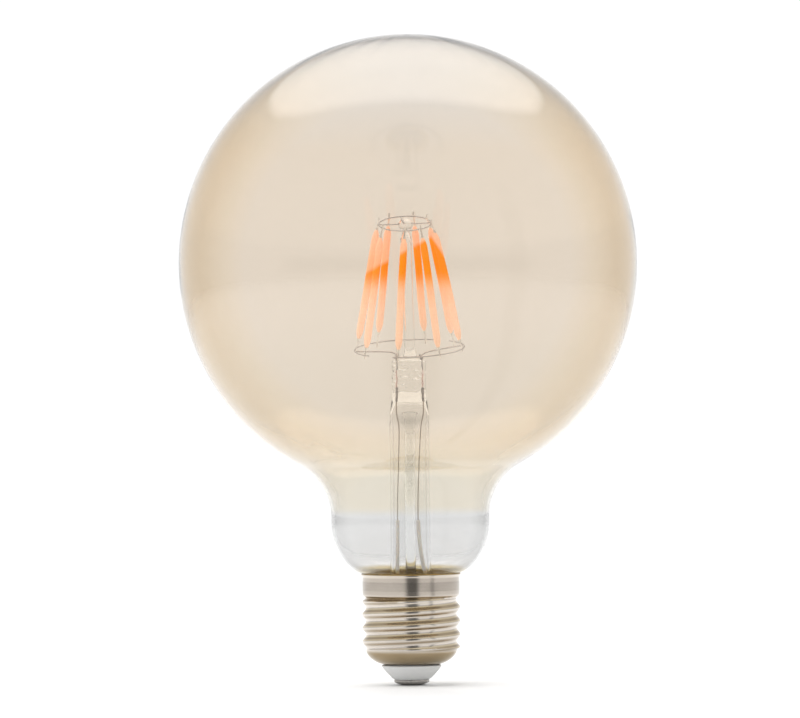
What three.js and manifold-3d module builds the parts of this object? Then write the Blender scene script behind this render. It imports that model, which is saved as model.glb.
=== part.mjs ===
// A globe LED filament lamp on an E27 screw cap, in millimetres.
// +Z runs up the lamp's axis, and the origin is the middle of the centre contact's flat face.
// -Y is the front, +X is the right.
import * as THREE from "three";
import { mergeVertices } from "three/addons/utils/BufferGeometryUtils.js";
import Module from "manifold-3d";

const wasm = await Module();
wasm.setup();

// ---- Driving dimensions ----

const GAP = 0.3;

const GLOBE_RADIUS = 61.2;
const GLOBE_CENTRE_Z = 112.6;
const GLASS_WALL = 0.9;
const NECK_RADIUS = 21.1;
const NECK_TOP_Z = 45;
const SHOULDER_Z = 43.7;
const SHOULDER_DROP = 14.1;
const SHOULDER_POWER = 1.9;
const THROAT_RADIUS = 11.3;
const THROAT_BOTTOM_Z = 21.5;
const THROAT_CORNER = 0.3;

const STEM_RADIUS = 5.3;
const STEM_WALL = 1.05;
const FLARE_RADIUS = 10;
const FLARE_TOP_Z = 36;
const FLARE_RIM_Z = 21.5;
const FLARE_RIM_HEIGHT = 0.8;
const PRESS_TOP_Z = 87;
const PRESS_BOTTOM_Z = 78.2;
const PRESS_HALF_WIDTH = 4.65;
const PRESS_HALF_DEPTH = 2.1;
const PRESS_EDGE = 0.45;
const PRESS_SQUARENESS = 3;
const STEM_HOLLOW_TOP_Z = 75.2;
const STEM_NECKING = 6;
const EXHAUST_RADIUS = 1.5;
const EXHAUST_BORE = 0.9;
const EXHAUST_TIP_Z = 22.6;
const EXHAUST_TIP_HEIGHT = 1.6;
const EXHAUST_TOP_Z = 72.6;

const CAGE_LEAN_FORWARD = 7;
const CAGE_LEAN_LEFT = 1.5;
const CAGE_OFFSET_X = 0.3;
const LOWER_RING_RADIUS = 14.6;
const LOWER_RING_HEIGHT = 2.8;
const LOWER_RING_TILT = 1.6;
const UPPER_RING_RADIUS = 7;
const UPPER_RING_HEIGHT = 36.6;
const UPPER_RING_TILT = 9;
const RING_WIRE = 0.36;
const LEFT_HALF_RING_ANGLES = [62, 222];
const RIGHT_HALF_RING_ANGLES = [-108, 43];
const UPPER_RING_ANGLES = [38, 383];
const ARM_ANGLES = { leftSide: 187, leftBack: 105, rightSide: 6 };
const SUPPORT_WIRE = 0.32;
const SUPPORT_ANGLES = { left: 182, right: 2, back: 100 };
const POST_RADIUS = 1.45;
const POST_BUTTON_RADIUS = 1.95;
const POST_BUTTON_HEIGHT = 2.4;
const POST_BUTTON_Z = 36.9;

// Each filament's angle at the lower ring and at the upper one, in degrees from the right,
// and how far it sits above the middle of its two rings.
const FILAMENTS = [
  { lower: 34, upper: 34, rise: 0 },
  { lower: 73, upper: 72, rise: 0 },
  { lower: 127, upper: 125, rise: 0.4 },
  { lower: 176, upper: 162, rise: 0.5 },
  { lower: 214, upper: 214, rise: -0.2 },
  { lower: 257, upper: 268, rise: 0 },
  { lower: 304, upper: 304, rise: -0.2 },
  { lower: 349, upper: 349, rise: 0 },
];
const FILAMENT_LENGTH = 30.5;
const FILAMENT_DIAMETER = 1.9;
const FILAMENT_TAPER = 1.4;
const TAB_WIDTH = 0.65;
const TAB_THICKNESS = 0.25;
const TAB_PAST_RING = 1.2;
const TAB_TO_RING = 0.25;

const LEFT_WIRE_X = -3.2;
const RIGHT_WIRE_X = 3.4;
const LEAD_WIRE = 0.34;
const SEALING_WIRE = 0.4;
const WELD_SLEEVE = 0.7;
const WELD_SLEEVE_Z = [75.7, 79];
const SEALING_WIRE_Z = [79.3, 83.8];
const ARM_FOOT_Z = 84.1;
const INSULATION_OUTER = 1.24;
const INSULATION_INNER = 0.92;
const INSULATION_TOP_Z = 45.5;
// Where each lead runs below its weld sleeve: [x, z] points down to the driver board.
const LEFT_LEAD_ROUTE = [[-2.9, 70], [-3.35, 49], [-3.5, 36], [-3.6, 30], [-3.6, 21.6]];
const RIGHT_LEAD_ROUTE = [[3, 70], [2.1, 49], [2.3, 40], [3, 34], [3.6, 30.5], [4.3, 27], [4.6, 21.6]];

// E27 screw thread: rolled, rounded, right-handed.
const THREAD_MAJOR_RADIUS = 13.15;
const THREAD_MINOR_RADIUS = 12.15;
const THREAD_PITCH = 3.629;
const THREAD_CREST_Z = 17.09;
const THREAD_SHARPNESS = 1.15;
const THREAD_TOP_Z = 23.3;
const THREAD_BOTTOM_Z = 9.2;
const THREAD_RUNOUT = 0.9;
const CAP_SHEET = 0.35;
const SKIRT_RADIUS = 13;
const SKIRT_BOTTOM_Z = 24.2;
const LIP_RADIUS = 13.4;
const LIP_TOP_Z = 29.5;
const LIP_HEIGHT = 0.95;
const BOWL_FOOT_RADIUS = 7.2;
const BOWL_SQUARENESS = 1.6;
const BOWL_HOLE_RADIUS = 7;
const BOWL_BOTTOM_Z = 5.5;

const INSULATOR_TOP_Z = 7.6;
const INSULATOR_RIM_RADIUS = 8.05;
const INSULATOR_RIM_Z = 5.2;
const INSULATOR_FOOT_RADIUS = 4.75;
const CONTACT_RADIUS = 4.7;
const CONTACT_FLAT_RADIUS = 2.2;
const CONTACT_DOME = { radius: 3.6, z: 0.25 };
const CONTACT_RIM = 0.3;
const CONTACT_HEIGHT = 1.1;
const RIVET_RADIUS = 1.3;
const RIVET_TOP_Z = 7.7;

// The driver board stands upright in the cap. Chips are on its front and the tall parts on its back.
const BOARD_WIDTH = 18;
const BOARD_BOTTOM_Z = 9;
const BOARD_TOP_Z = 20.9;
const BOARD_THICKNESS = 1;
const DRIVER_IC = { width: 4.9, height: 3.9, thickness: 1.5, x: 5.2, z: 14 };
const BRIDGE_RECTIFIER = { width: 4.7, height: 3.9, thickness: 1.6, x: 5.2, z: 18.6 };
const RADIO_BOARD = { width: 9.6, height: 7.6, thickness: 0.8, x: -2.9, z: 16.4 };
const RADIO_CAN = { width: 6.4, height: 6.4, thickness: 1.3, x: -2, z: 16.4 };
const SMOOTHING_CAPACITOR = { radius: 3.15, length: 9, x: -4.4, z: 10 };
const FILTER_INDUCTOR = { radius: 2.5, length: 6, x: 4.6, z: 11.5 };
const FUSIBLE_RESISTOR = { radius: 1.2, length: 6, z: 9.9 };
const PART_EDGE = 0.35;
const CONTACT_WIRE = 0.6;
const SHELL_WIRE = 0.5;

const GLOBE_SEGMENTS = 40;
const CAP_SEGMENTS = 30;
const CONTACT_SEGMENTS = 24;
const TUBE_SEGMENTS = 20;
const SMALL_SEGMENTS = 12;
const FILAMENT_SEGMENTS = 8;
const WIRE_SIDES = 6;
const ROUND_WIRE_SIDES = 8;
const THREAD_ROWS_PER_PITCH = 6;
const RING_STEP_DEGREES = 10;

const { cos, sin, sign, abs, PI } = Math;
const rad = THREE.MathUtils.degToRad;

// ---- Materials ----

function finish(color, roughness, metalness, opacity = 1) {
  return new THREE.MeshStandardMaterial({
    color,
    roughness,
    metalness,
    opacity,
    transparent: opacity < 1,
  });
}

const material = {
  amberGlass: finish(0xe8d3b0, 0.04, 0, 0.35),
  clearGlass: finish(0xe9edee, 0.05, 0, 0.35),
  phosphor: finish(0xf6a95c, 0.6, 0),
  steelWire: finish(0x9a9a9c, 0.35, 1),
  nickel: finish(0xb9b1a6, 0.28, 1),
  copper: finish(0xb8694e, 0.4, 1),
  sleeving: finish(0xe3d3b9, 0.8, 0),
  cement: finish(0x8d7838, 0.9, 0),
  whitePlastic: finish(0xc4c4c2, 0.5, 0),
  board: finish(0x2c6b3c, 0.55, 0),
  chip: finish(0x1c1c1e, 0.5, 0),
  shieldCan: finish(0xb8babc, 0.35, 1),
  ferrite: finish(0x3a3a3c, 0.7, 0),
  canSleeve: finish(0x23304a, 0.4, 0),
  resistorBody: finish(0x7fa3a8, 0.6, 0),
  wireInsulation: finish(0xa32d24, 0.5, 0),
};

// ---- Geometry helpers ----

// Faces turned outwards, whichever way round the outline was drawn.
function facingOut(geometry) {
  const bare = geometry.index ? geometry.toNonIndexed() : geometry.clone();
  bare.deleteAttribute("normal");
  bare.deleteAttribute("uv");
  const merged = mergeVertices(bare, 1e-4);
  const position = merged.attributes.position;
  const corners = [0, 1, 2].map(() => new THREE.Vector3());
  const index = Array.from(merged.index.array);
  const kept = [];
  let volume = 0;
  for (let i = 0; i < index.length; i += 3) {
    const [a, b, c] = index.slice(i, i + 3);
    if (a === b || b === c || c === a) continue;
    corners.forEach((corner, k) => corner.fromBufferAttribute(position, [a, b, c][k]));
    volume += corners[0].dot(corners[1].clone().cross(corners[2]));
    kept.push(a, b, c);
  }
  merged.setIndex(volume < 0 ? kept.reverse() : kept);
  merged.computeVertexNormals();
  return merged;
}

function toSolid(geometry) {
  const closed = facingOut(geometry);
  return new wasm.Manifold(
    new wasm.Mesh({
      numProp: 3,
      vertProperties: closed.attributes.position.array,
      triVerts: new Uint32Array(closed.index.array),
    }),
  );
}

function fromSolid(solid) {
  const mesh = solid.getMesh();
  const geometry = new THREE.BufferGeometry();
  const positions = new THREE.BufferAttribute(mesh.vertProperties, 3);
  geometry.setAttribute("position", positions);
  geometry.setIndex(new THREE.BufferAttribute(mesh.triVerts, 1));
  geometry.computeVertexNormals();
  return geometry;
}

// A turned piece: the outline is a list of [radius, height].
function turned(outline, segments) {
  const points = outline.map(([r, z]) => new THREE.Vector2(r, z));
  const closed = outline[0][0] === 0 ? points : [...points, points[0].clone()];
  return facingOut(new THREE.LatheGeometry(closed, segments).rotateX(PI / 2));
}

// A skin through a stack of rings, each a function of the angle that gives a point.
// A stack that doesn't loop ends in a point at both ends.
function skinOverRings(rings, segments, poles) {
  const points = rings.flatMap((ring) =>
    Array.from({ length: segments }, (_, k) => ring((2 * PI * k) / segments)),
  );
  const faces = [];
  const bands = poles ? rings.length - 1 : rings.length;
  for (let row = 0; row < bands; row++) {
    const here = row * segments;
    const next = ((row + 1) % rings.length) * segments;
    for (let k = 0; k < segments; k++) {
      const turn = (k + 1) % segments;
      faces.push(here + k, here + turn, next + k);
      faces.push(next + k, here + turn, next + turn);
    }
  }
  if (poles) {
    const last = (rings.length - 1) * segments;
    const first = points.push(poles[0]) - 1;
    const end = points.push(poles[1]) - 1;
    for (let k = 0; k < segments; k++) {
      const turn = (k + 1) % segments;
      faces.push(first, turn, k);
      faces.push(end, last + k, last + turn);
    }
  }
  const geometry = new THREE.BufferGeometry().setFromPoints(points);
  geometry.setIndex(faces);
  return facingOut(geometry);
}

function regularSection(radius, sides) {
  const corners = Array.from({ length: sides }, (_, k) => {
    const angle = (2 * PI * k) / sides;
    return new THREE.Vector2(radius * cos(angle), radius * sin(angle));
  });
  return new THREE.Shape(corners);
}

// A wire of the given diameter along a smooth curve.
function wire(points, diameter, steps, sides = WIRE_SIDES) {
  const extrudePath = new THREE.CatmullRomCurve3(points);
  const section = regularSection(diameter / 2, sides);
  return facingOut(new THREE.ExtrudeGeometry(section, { steps, bevelEnabled: false, extrudePath }));
}

const vec = (x, y, z) => new THREE.Vector3(x, y, z);

const lamp = new THREE.Group();

function add(name, geometry, meshMaterial, parent = lamp) {
  const mesh = new THREE.Mesh(geometry, meshMaterial);
  mesh.name = name;
  parent.add(mesh);
  return mesh;
}

// ---- Glass envelope: globe, fillet, neck, shoulder and throat ----

// One side of the glass from the crown down to the throat's rim, inset by the given amount.
function envelopeSide(inset) {
  const rise = GLOBE_CENTRE_Z - NECK_TOP_Z;
  const filletRadius =
    (NECK_RADIUS ** 2 + rise ** 2 - GLOBE_RADIUS ** 2) / (2 * (GLOBE_RADIUS - NECK_RADIUS));
  const filletCentre = NECK_RADIUS + filletRadius;
  const tangent = Math.atan2(filletCentre, -rise);
  const globeSteps = 16;
  const filletSteps = 4;
  const shoulderSteps = 5;
  const outline = [];
  for (let k = 0; k <= globeSteps; k++) {
    const angle = (tangent * k) / globeSteps;
    const reach = GLOBE_RADIUS - inset;
    outline.push([k === 0 ? 0 : reach * sin(angle), GLOBE_CENTRE_Z + reach * cos(angle)]);
  }
  const filletStart = Math.atan2(rise, -filletCentre);
  for (let k = 1; k <= filletSteps; k++) {
    const angle = filletStart + ((PI - filletStart) * k) / filletSteps;
    const reach = filletRadius + inset;
    outline.push([filletCentre + reach * cos(angle), NECK_TOP_Z + reach * sin(angle)]);
  }
  const throat = THROAT_RADIUS - inset;
  const across = NECK_RADIUS - THROAT_RADIUS - THROAT_CORNER;
  for (let k = 0; k <= shoulderSteps; k++) {
    const angle = (PI / 2) * (k / shoulderSteps);
    const out = abs(cos(angle)) ** (2 / SHOULDER_POWER);
    const down = sin(angle) ** (2 / SHOULDER_POWER);
    outline.push([
      throat + THROAT_CORNER + across * (k === shoulderSteps ? 0 : out),
      SHOULDER_Z - (SHOULDER_DROP - inset) * down,
    ]);
  }
  outline.push([throat, SHOULDER_Z - SHOULDER_DROP + inset - THROAT_CORNER]);
  outline.push([throat, THROAT_BOTTOM_Z]);
  return outline;
}

function makeEnvelope() {
  const outside = envelopeSide(0);
  const inside = envelopeSide(GLASS_WALL).reverse();
  add("glass_envelope", turned([...outside, ...inside], GLOBE_SEGMENTS), material.amberGlass);
}

// ---- Stem: flare, tube and flat press, with the exhaust tube inside ----

// A ring that is an ellipse at power 2 and squarer above it.
function squaredRing(z, halfWidth, halfDepth, power = 2) {
  return (angle) => {
    const c = cos(angle);
    const s = sin(angle);
    return vec(
      halfWidth * sign(c) * abs(c) ** (2 / power),
      halfDepth * sign(s) * abs(s) ** (2 / power),
      z,
    );
  };
}

function flareRings(startRadius, endRadius, endZ) {
  const steps = 4;
  return Array.from({ length: steps + 1 }, (_, k) => {
    const angle = (PI / 2) * (k / steps);
    const radius = startRadius + (endRadius - startRadius) * (1 - cos(angle));
    const z = FLARE_TOP_Z - (FLARE_TOP_Z - endZ) * sin(angle);
    return squaredRing(z, radius, radius);
  });
}

function makeStemTube() {
  const bore = STEM_RADIUS - STEM_WALL;
  const halfWidth = PRESS_HALF_WIDTH;
  const halfDepth = PRESS_HALF_DEPTH;
  const outside = [
    squaredRing(PRESS_TOP_Z, halfWidth - PRESS_EDGE, halfDepth - PRESS_EDGE, PRESS_SQUARENESS),
    squaredRing(PRESS_TOP_Z - PRESS_EDGE, halfWidth, halfDepth, PRESS_SQUARENESS),
    squaredRing(PRESS_BOTTOM_Z, halfWidth, halfDepth * 1.1, PRESS_SQUARENESS),
    squaredRing(PRESS_BOTTOM_Z - STEM_NECKING / 2, STEM_RADIUS * 0.95, STEM_RADIUS * 0.7),
    squaredRing(PRESS_BOTTOM_Z - STEM_NECKING, STEM_RADIUS, STEM_RADIUS),
    ...flareRings(STEM_RADIUS, FLARE_RADIUS, FLARE_RIM_Z + FLARE_RIM_HEIGHT),
  ];
  const inside = [
    ...flareRings(bore, FLARE_RADIUS - FLARE_RIM_HEIGHT, FLARE_RIM_Z).reverse(),
    squaredRing(STEM_HOLLOW_TOP_Z - 3.5, bore, bore),
    squaredRing(STEM_HOLLOW_TOP_Z - 1, bore * 0.9, bore * 0.6),
  ];
  const rim = squaredRing(FLARE_RIM_Z, FLARE_RADIUS, FLARE_RADIUS);
  const poles = [vec(0, 0, PRESS_TOP_Z), vec(0, 0, STEM_HOLLOW_TOP_Z)];
  let solid = toSolid(skinOverRings([...outside, rim, ...inside], TUBE_SEGMENTS, poles));
  const channel = WELD_SLEEVE + 2 * GAP;
  for (const x of [LEFT_WIRE_X, RIGHT_WIRE_X]) {
    const route = [vec(x, 0, WELD_SLEEVE_Z[0] - 3), vec(x, 0, PRESS_TOP_Z + 1)];
    solid = solid.subtract(toSolid(wire(route, channel, 1, ROUND_WIRE_SIDES)));
  }
  add("stem_tube", fromSolid(solid), material.clearGlass);
}

function makeExhaustTube() {
  const shoulder = EXHAUST_TIP_Z + EXHAUST_TIP_HEIGHT;
  const outline = [
    [0, EXHAUST_TIP_Z],
    [EXHAUST_RADIUS * 0.7, EXHAUST_TIP_Z + EXHAUST_TIP_HEIGHT / 2],
    [EXHAUST_RADIUS, shoulder],
    [EXHAUST_RADIUS, EXHAUST_TOP_Z],
    [EXHAUST_BORE, EXHAUST_TOP_Z],
    [EXHAUST_BORE, shoulder + EXHAUST_BORE],
    [0, shoulder],
  ];
  add("exhaust_tube", turned(outline, SMALL_SEGMENTS), material.clearGlass);
}

// ---- Cage: glass post, wire rings and filaments, which lean together ----

const cage = new THREE.Group();
cage.position.set(0, 0, PRESS_TOP_Z);
cage.rotation.set(rad(CAGE_LEAN_FORWARD), rad(-CAGE_LEAN_LEFT), 0);
lamp.add(cage);
lamp.updateMatrixWorld(true);

// A point of a tilted ring in the cage's own frame, at an angle in degrees from the right.
function ringPoint(ring, degrees, radius = ring.radius) {
  return vec(radius * cos(rad(degrees)), radius * sin(rad(degrees)), 0)
    .applyAxisAngle(vec(1, 0, 0), rad(ring.tilt))
    .add(vec(CAGE_OFFSET_X, 0, ring.height));
}

const lowerRing = { radius: LOWER_RING_RADIUS, height: LOWER_RING_HEIGHT, tilt: LOWER_RING_TILT };
const upperRing = { radius: UPPER_RING_RADIUS, height: UPPER_RING_HEIGHT, tilt: UPPER_RING_TILT };
const intoRing = RING_WIRE / 2 + GAP;

function addRing(name, ring, [from, to]) {
  const steps = Math.round((to - from) / RING_STEP_DEGREES);
  const points = Array.from({ length: steps + 1 }, (_, k) =>
    ringPoint(ring, from + ((to - from) * k) / steps),
  );
  add(name, wire(points, RING_WIRE, steps), material.steelWire, cage);
}

function makeRings() {
  addRing("left_half_ring", lowerRing, LEFT_HALF_RING_ANGLES);
  addRing("right_half_ring", lowerRing, RIGHT_HALF_RING_ANGLES);
  addRing("upper_ring", upperRing, UPPER_RING_ANGLES);
}

function makePost() {
  const buttonFoot = -PI / 3;
  const halfHeight = POST_BUTTON_HEIGHT / 2;
  const steps = 4;
  const outline = [
    [0, GAP],
    [POST_RADIUS, GAP],
    [POST_RADIUS, POST_BUTTON_Z - POST_BUTTON_HEIGHT],
  ];
  for (let k = 0; k <= steps; k++) {
    const angle = buttonFoot + ((PI / 2 - buttonFoot) * k) / steps;
    const radius = k === steps ? 0 : POST_BUTTON_RADIUS * cos(angle);
    outline.push([radius, POST_BUTTON_Z + halfHeight * sin(angle)]);
  }
  const post = turned(outline, SMALL_SEGMENTS).translate(CAGE_OFFSET_X, 0, 0);
  add("glass_post", post, material.clearGlass, cage);

  for (const [side, degrees] of Object.entries(SUPPORT_ANGLES)) {
    const level = { ...upperRing, tilt: 0 };
    const start = ringPoint(level, degrees, POST_BUTTON_RADIUS + GAP);
    const end = ringPoint(upperRing, degrees, UPPER_RING_RADIUS - intoRing);
    add(`upper_support_${side}`, wire([start, end], SUPPORT_WIRE, 2), material.steelWire, cage);
  }
}

// Each filament stands inside the lower ring and outside the upper one, with a tab at each end.
function makeFilament(number, { lower, upper, rise }) {
  const ringToTab = RING_WIRE / 2 + TAB_THICKNESS / 2 + TAB_TO_RING;
  const foot = ringPoint(lowerRing, lower, LOWER_RING_RADIUS - ringToTab);
  const head = ringPoint(upperRing, upper, UPPER_RING_RADIUS + ringToTab);
  const upwards = head.clone().sub(foot).normalize();
  const outwards = vec(cos(rad(lower)), sin(rad(lower)), 0);
  outwards.addScaledVector(upwards, -outwards.dot(upwards)).normalize();
  const sideways = outwards.clone().cross(upwards);
  const holder = new THREE.Group();
  holder.applyMatrix4(new THREE.Matrix4().makeBasis(sideways, outwards, upwards.clone()));
  holder.position.copy(foot.clone().lerp(head, 0.5));
  cage.add(holder);

  const half = FILAMENT_LENGTH / 2;
  const radius = FILAMENT_DIAMETER / 2;
  const outline = [
    [0, -half],
    [radius * 0.6, -half + FILAMENT_TAPER / 4],
    [radius, -half + FILAMENT_TAPER],
    [radius, half - FILAMENT_TAPER],
    [radius * 0.6, half - FILAMENT_TAPER / 4],
    [0, half],
  ];
  const rod = turned(outline, FILAMENT_SEGMENTS).translate(0, 0, rise);
  add(`filament_${number}`, rod, material.phosphor, holder);

  for (const [end, way] of [["upper", 1], ["lower", -1]]) {
    const tabStart = half + GAP + way * rise;
    const tabLength = foot.distanceTo(head) / 2 + TAB_PAST_RING - tabStart;
    const tab = new THREE.BoxGeometry(TAB_WIDTH, TAB_THICKNESS, tabLength);
    tab.translate(0, 0, way * (tabStart + tabLength / 2));
    add(`filament_${number}_${end}_tab`, tab, material.nickel, holder);
  }
}

// ---- Lead wires: support arms above the press, then sealing wire, weld sleeve and lead ----

function makeArms() {
  const ringEnd = (degrees) =>
    cage.localToWorld(ringPoint(lowerRing, degrees, LOWER_RING_RADIUS - intoRing));
  const above = (x, y, rise) => vec(x, y, PRESS_TOP_Z + rise);
  const leftSide = [
    vec(LEFT_WIRE_X, 0, ARM_FOOT_Z),
    above(LEFT_WIRE_X, 0, 0.6),
    above(LEFT_WIRE_X - 0.7, -0.1, 1.5),
    above(LEFT_WIRE_X - 2.6, -0.4, 1.9),
    ringEnd(ARM_ANGLES.leftSide),
  ];
  const leftBack = [
    above(LEFT_WIRE_X, 0.85, 1),
    above(LEFT_WIRE_X, 2, 1.7),
    ringEnd(ARM_ANGLES.leftBack),
  ];
  const rightSide = [
    vec(RIGHT_WIRE_X, 0, ARM_FOOT_Z),
    above(RIGHT_WIRE_X, 0, 0.6),
    above(RIGHT_WIRE_X + 0.8, -0.1, 1.4),
    above(RIGHT_WIRE_X + 2.4, -0.3, 1.9),
    ringEnd(ARM_ANGLES.rightSide),
  ];
  add("left_side_arm", wire(leftSide, RING_WIRE, 16), material.steelWire);
  add("left_back_arm", wire(leftBack, RING_WIRE, 8), material.steelWire);
  add("right_side_arm", wire(rightSide, RING_WIRE, 16), material.steelWire);
}

// A sleeve round the lower end of a lead, open at both ends.
function insulationSleeve(route) {
  const path = new THREE.CatmullRomCurve3(route).getSpacedPoints(48);
  const covered = path.filter((point) => point.z < INSULATION_TOP_Z);
  const bore = [covered[0].clone().setZ(covered[0].z + 1), ...covered];
  const outer = toSolid(wire(covered.slice(1, -1), INSULATION_OUTER, 10, ROUND_WIRE_SIDES));
  return fromSolid(outer.subtract(toSolid(wire(bore, INSULATION_INNER, 12, ROUND_WIRE_SIDES))));
}

function makeLeads(side, x, lowerRoute) {
  const upright = (name, [from, to], diameter, skin) => {
    const route = [vec(x, 0, from), vec(x, 0, to)];
    add(`${side}_${name}`, wire(route, diameter, 1, ROUND_WIRE_SIDES), skin);
  };
  upright("sealing_wire", SEALING_WIRE_Z, SEALING_WIRE, material.copper);
  upright("weld_sleeve", WELD_SLEEVE_Z, WELD_SLEEVE, material.steelWire);
  const start = vec(x, 0, WELD_SLEEVE_Z[0] - GAP);
  const route = [start, ...lowerRoute.map(([px, pz]) => vec(px, 0, pz))];
  add(`${side}_lead`, wire(route, LEAD_WIRE, 24), material.copper);
  add(`${side}_insulation_sleeve`, insulationSleeve(route), material.sleeving);
}

// ---- Screw cap: cement, threaded shell, insulator and centre contact ----

function makeCement() {
  const outer = SKIRT_RADIUS - CAP_SHEET - GAP;
  const inner = THROAT_RADIUS + GAP;
  const top = SHOULDER_Z - SHOULDER_DROP - GAP;
  const bottom = SKIRT_BOTTOM_Z + 2 * GAP;
  const edge = 0.3;
  const outline = [
    [inner, bottom],
    [outer, bottom],
    [outer, top - edge],
    [outer - edge, top],
    [inner, top],
  ];
  add("basing_cement", turned(outline, CAP_SEGMENTS), material.cement);
}

function threadedRing(z, inset) {
  const fade = Math.min(
    THREE.MathUtils.smoothstep(z, THREAD_BOTTOM_Z, THREAD_BOTTOM_Z + THREAD_RUNOUT),
    1 - THREE.MathUtils.smoothstep(z, THREAD_TOP_Z - THREAD_RUNOUT, THREAD_TOP_Z),
  );
  const depth = (THREAD_MAJOR_RADIUS - THREAD_MINOR_RADIUS) * fade;
  return (angle) => {
    const turns = (z - THREAD_CREST_Z) / THREAD_PITCH - angle / (2 * PI);
    const wave = 0.5 + 0.5 * cos(2 * PI * turns);
    const radius = THREAD_MINOR_RADIUS - inset + depth * wave ** THREAD_SHARPNESS;
    return vec(radius * cos(angle), radius * sin(angle), z);
  };
}

function bowlRings(inset) {
  const steps = 5;
  const depth = THREAD_BOTTOM_Z - BOWL_BOTTOM_Z - inset;
  const across = THREAD_MINOR_RADIUS - inset - BOWL_FOOT_RADIUS;
  return Array.from({ length: steps }, (_, k) => {
    const angle = (PI / 2) * ((k + 1) / steps);
    const radius = BOWL_FOOT_RADIUS + across * abs(cos(angle)) ** (2 / BOWL_SQUARENESS);
    return squaredRing(THREAD_BOTTOM_Z - depth * sin(angle) ** (2 / BOWL_SQUARENESS), radius, radius);
  });
}

function makeCapShell() {
  const round = (radius, z) => squaredRing(z, radius, radius);
  const rows = Math.round(((THREAD_TOP_Z - THREAD_BOTTOM_Z) / THREAD_PITCH) * THREAD_ROWS_PER_PITCH);
  const thread = (inset) =>
    Array.from({ length: rows + 1 }, (_, k) =>
      threadedRing(THREAD_TOP_Z - ((THREAD_TOP_Z - THREAD_BOTTOM_Z) * k) / rows, inset),
    );
  const inner = SKIRT_RADIUS - CAP_SHEET;
  const outside = [
    round(inner + 0.15, LIP_TOP_Z - 0.05),
    round(LIP_RADIUS - 0.2, LIP_TOP_Z),
    round(LIP_RADIUS, LIP_TOP_Z - 0.25),
    round(LIP_RADIUS, LIP_TOP_Z - 0.6 * LIP_HEIGHT),
    round(SKIRT_RADIUS, LIP_TOP_Z - LIP_HEIGHT),
    round(SKIRT_RADIUS, SKIRT_BOTTOM_Z),
    round(SKIRT_RADIUS - 0.4, SKIRT_BOTTOM_Z - 0.5),
    ...thread(0),
    ...bowlRings(0),
  ];
  const inside = [
    round(BOWL_HOLE_RADIUS, BOWL_BOTTOM_Z),
    round(BOWL_HOLE_RADIUS, BOWL_BOTTOM_Z + CAP_SHEET),
    ...bowlRings(CAP_SHEET).reverse(),
    ...thread(CAP_SHEET).reverse(),
    round(inner - 0.4, SKIRT_BOTTOM_Z - 0.25),
    round(inner, SKIRT_BOTTOM_Z + 0.25),
    round(inner, LIP_TOP_Z - LIP_HEIGHT),
  ];
  add("cap_shell", skinOverRings([...outside, ...inside], CAP_SEGMENTS), material.nickel);
}

function makeInsulator() {
  const hole = RIVET_RADIUS + GAP;
  const waist = BOWL_HOLE_RADIUS - GAP;
  const flangeZ = BOWL_BOTTOM_Z + CAP_SHEET + GAP;
  const outline = [
    [hole, CONTACT_HEIGHT + GAP],
    [INSULATOR_FOOT_RADIUS, CONTACT_HEIGHT + GAP],
    [INSULATOR_RIM_RADIUS, INSULATOR_RIM_Z - 0.2],
    [INSULATOR_RIM_RADIUS, INSULATOR_RIM_Z],
    [waist, INSULATOR_RIM_Z],
    [waist, flangeZ],
    [INSULATOR_RIM_RADIUS - GAP, flangeZ],
    [INSULATOR_RIM_RADIUS - GAP, INSULATOR_TOP_Z],
    [hole, INSULATOR_TOP_Z],
  ];
  add("cap_insulator", turned(outline, CAP_SEGMENTS), material.whitePlastic);
}

function makeContact() {
  const outline = [
    [0, 0],
    [CONTACT_FLAT_RADIUS, 0],
    [CONTACT_DOME.radius, CONTACT_DOME.z],
    [CONTACT_RADIUS, CONTACT_HEIGHT - CONTACT_RIM],
    [CONTACT_RADIUS, CONTACT_HEIGHT],
    [RIVET_RADIUS, CONTACT_HEIGHT],
    [RIVET_RADIUS, RIVET_TOP_Z],
    [0, RIVET_TOP_Z],
  ];
  add("centre_contact", turned(outline, CONTACT_SEGMENTS), material.nickel);
}

// ---- Driver inside the cap: an upright board with its parts, and the wires to the cap ----

const boardFront = -BOARD_THICKNESS / 2 - GAP;
const boardBack = BOARD_THICKNESS / 2 + GAP;
const resistorY = boardFront - FUSIBLE_RESISTOR.radius - 0.2;

// A flat part on the board's front face, or on top of another one that is this thick.
function onBoardFront({ width, height, thickness, x, z }, under = 0) {
  const block = new THREE.BoxGeometry(width, thickness, height);
  return block.translate(x, boardFront - under - thickness / 2, z);
}

// A round part with softened edges, from its foot up.
function drum({ radius, length }) {
  const outline = [
    [0, 0],
    [radius - PART_EDGE, 0],
    [radius, PART_EDGE],
    [radius, length - PART_EDGE],
    [radius - PART_EDGE, length],
    [0, length],
  ];
  return turned(outline, SMALL_SEGMENTS);
}

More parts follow.
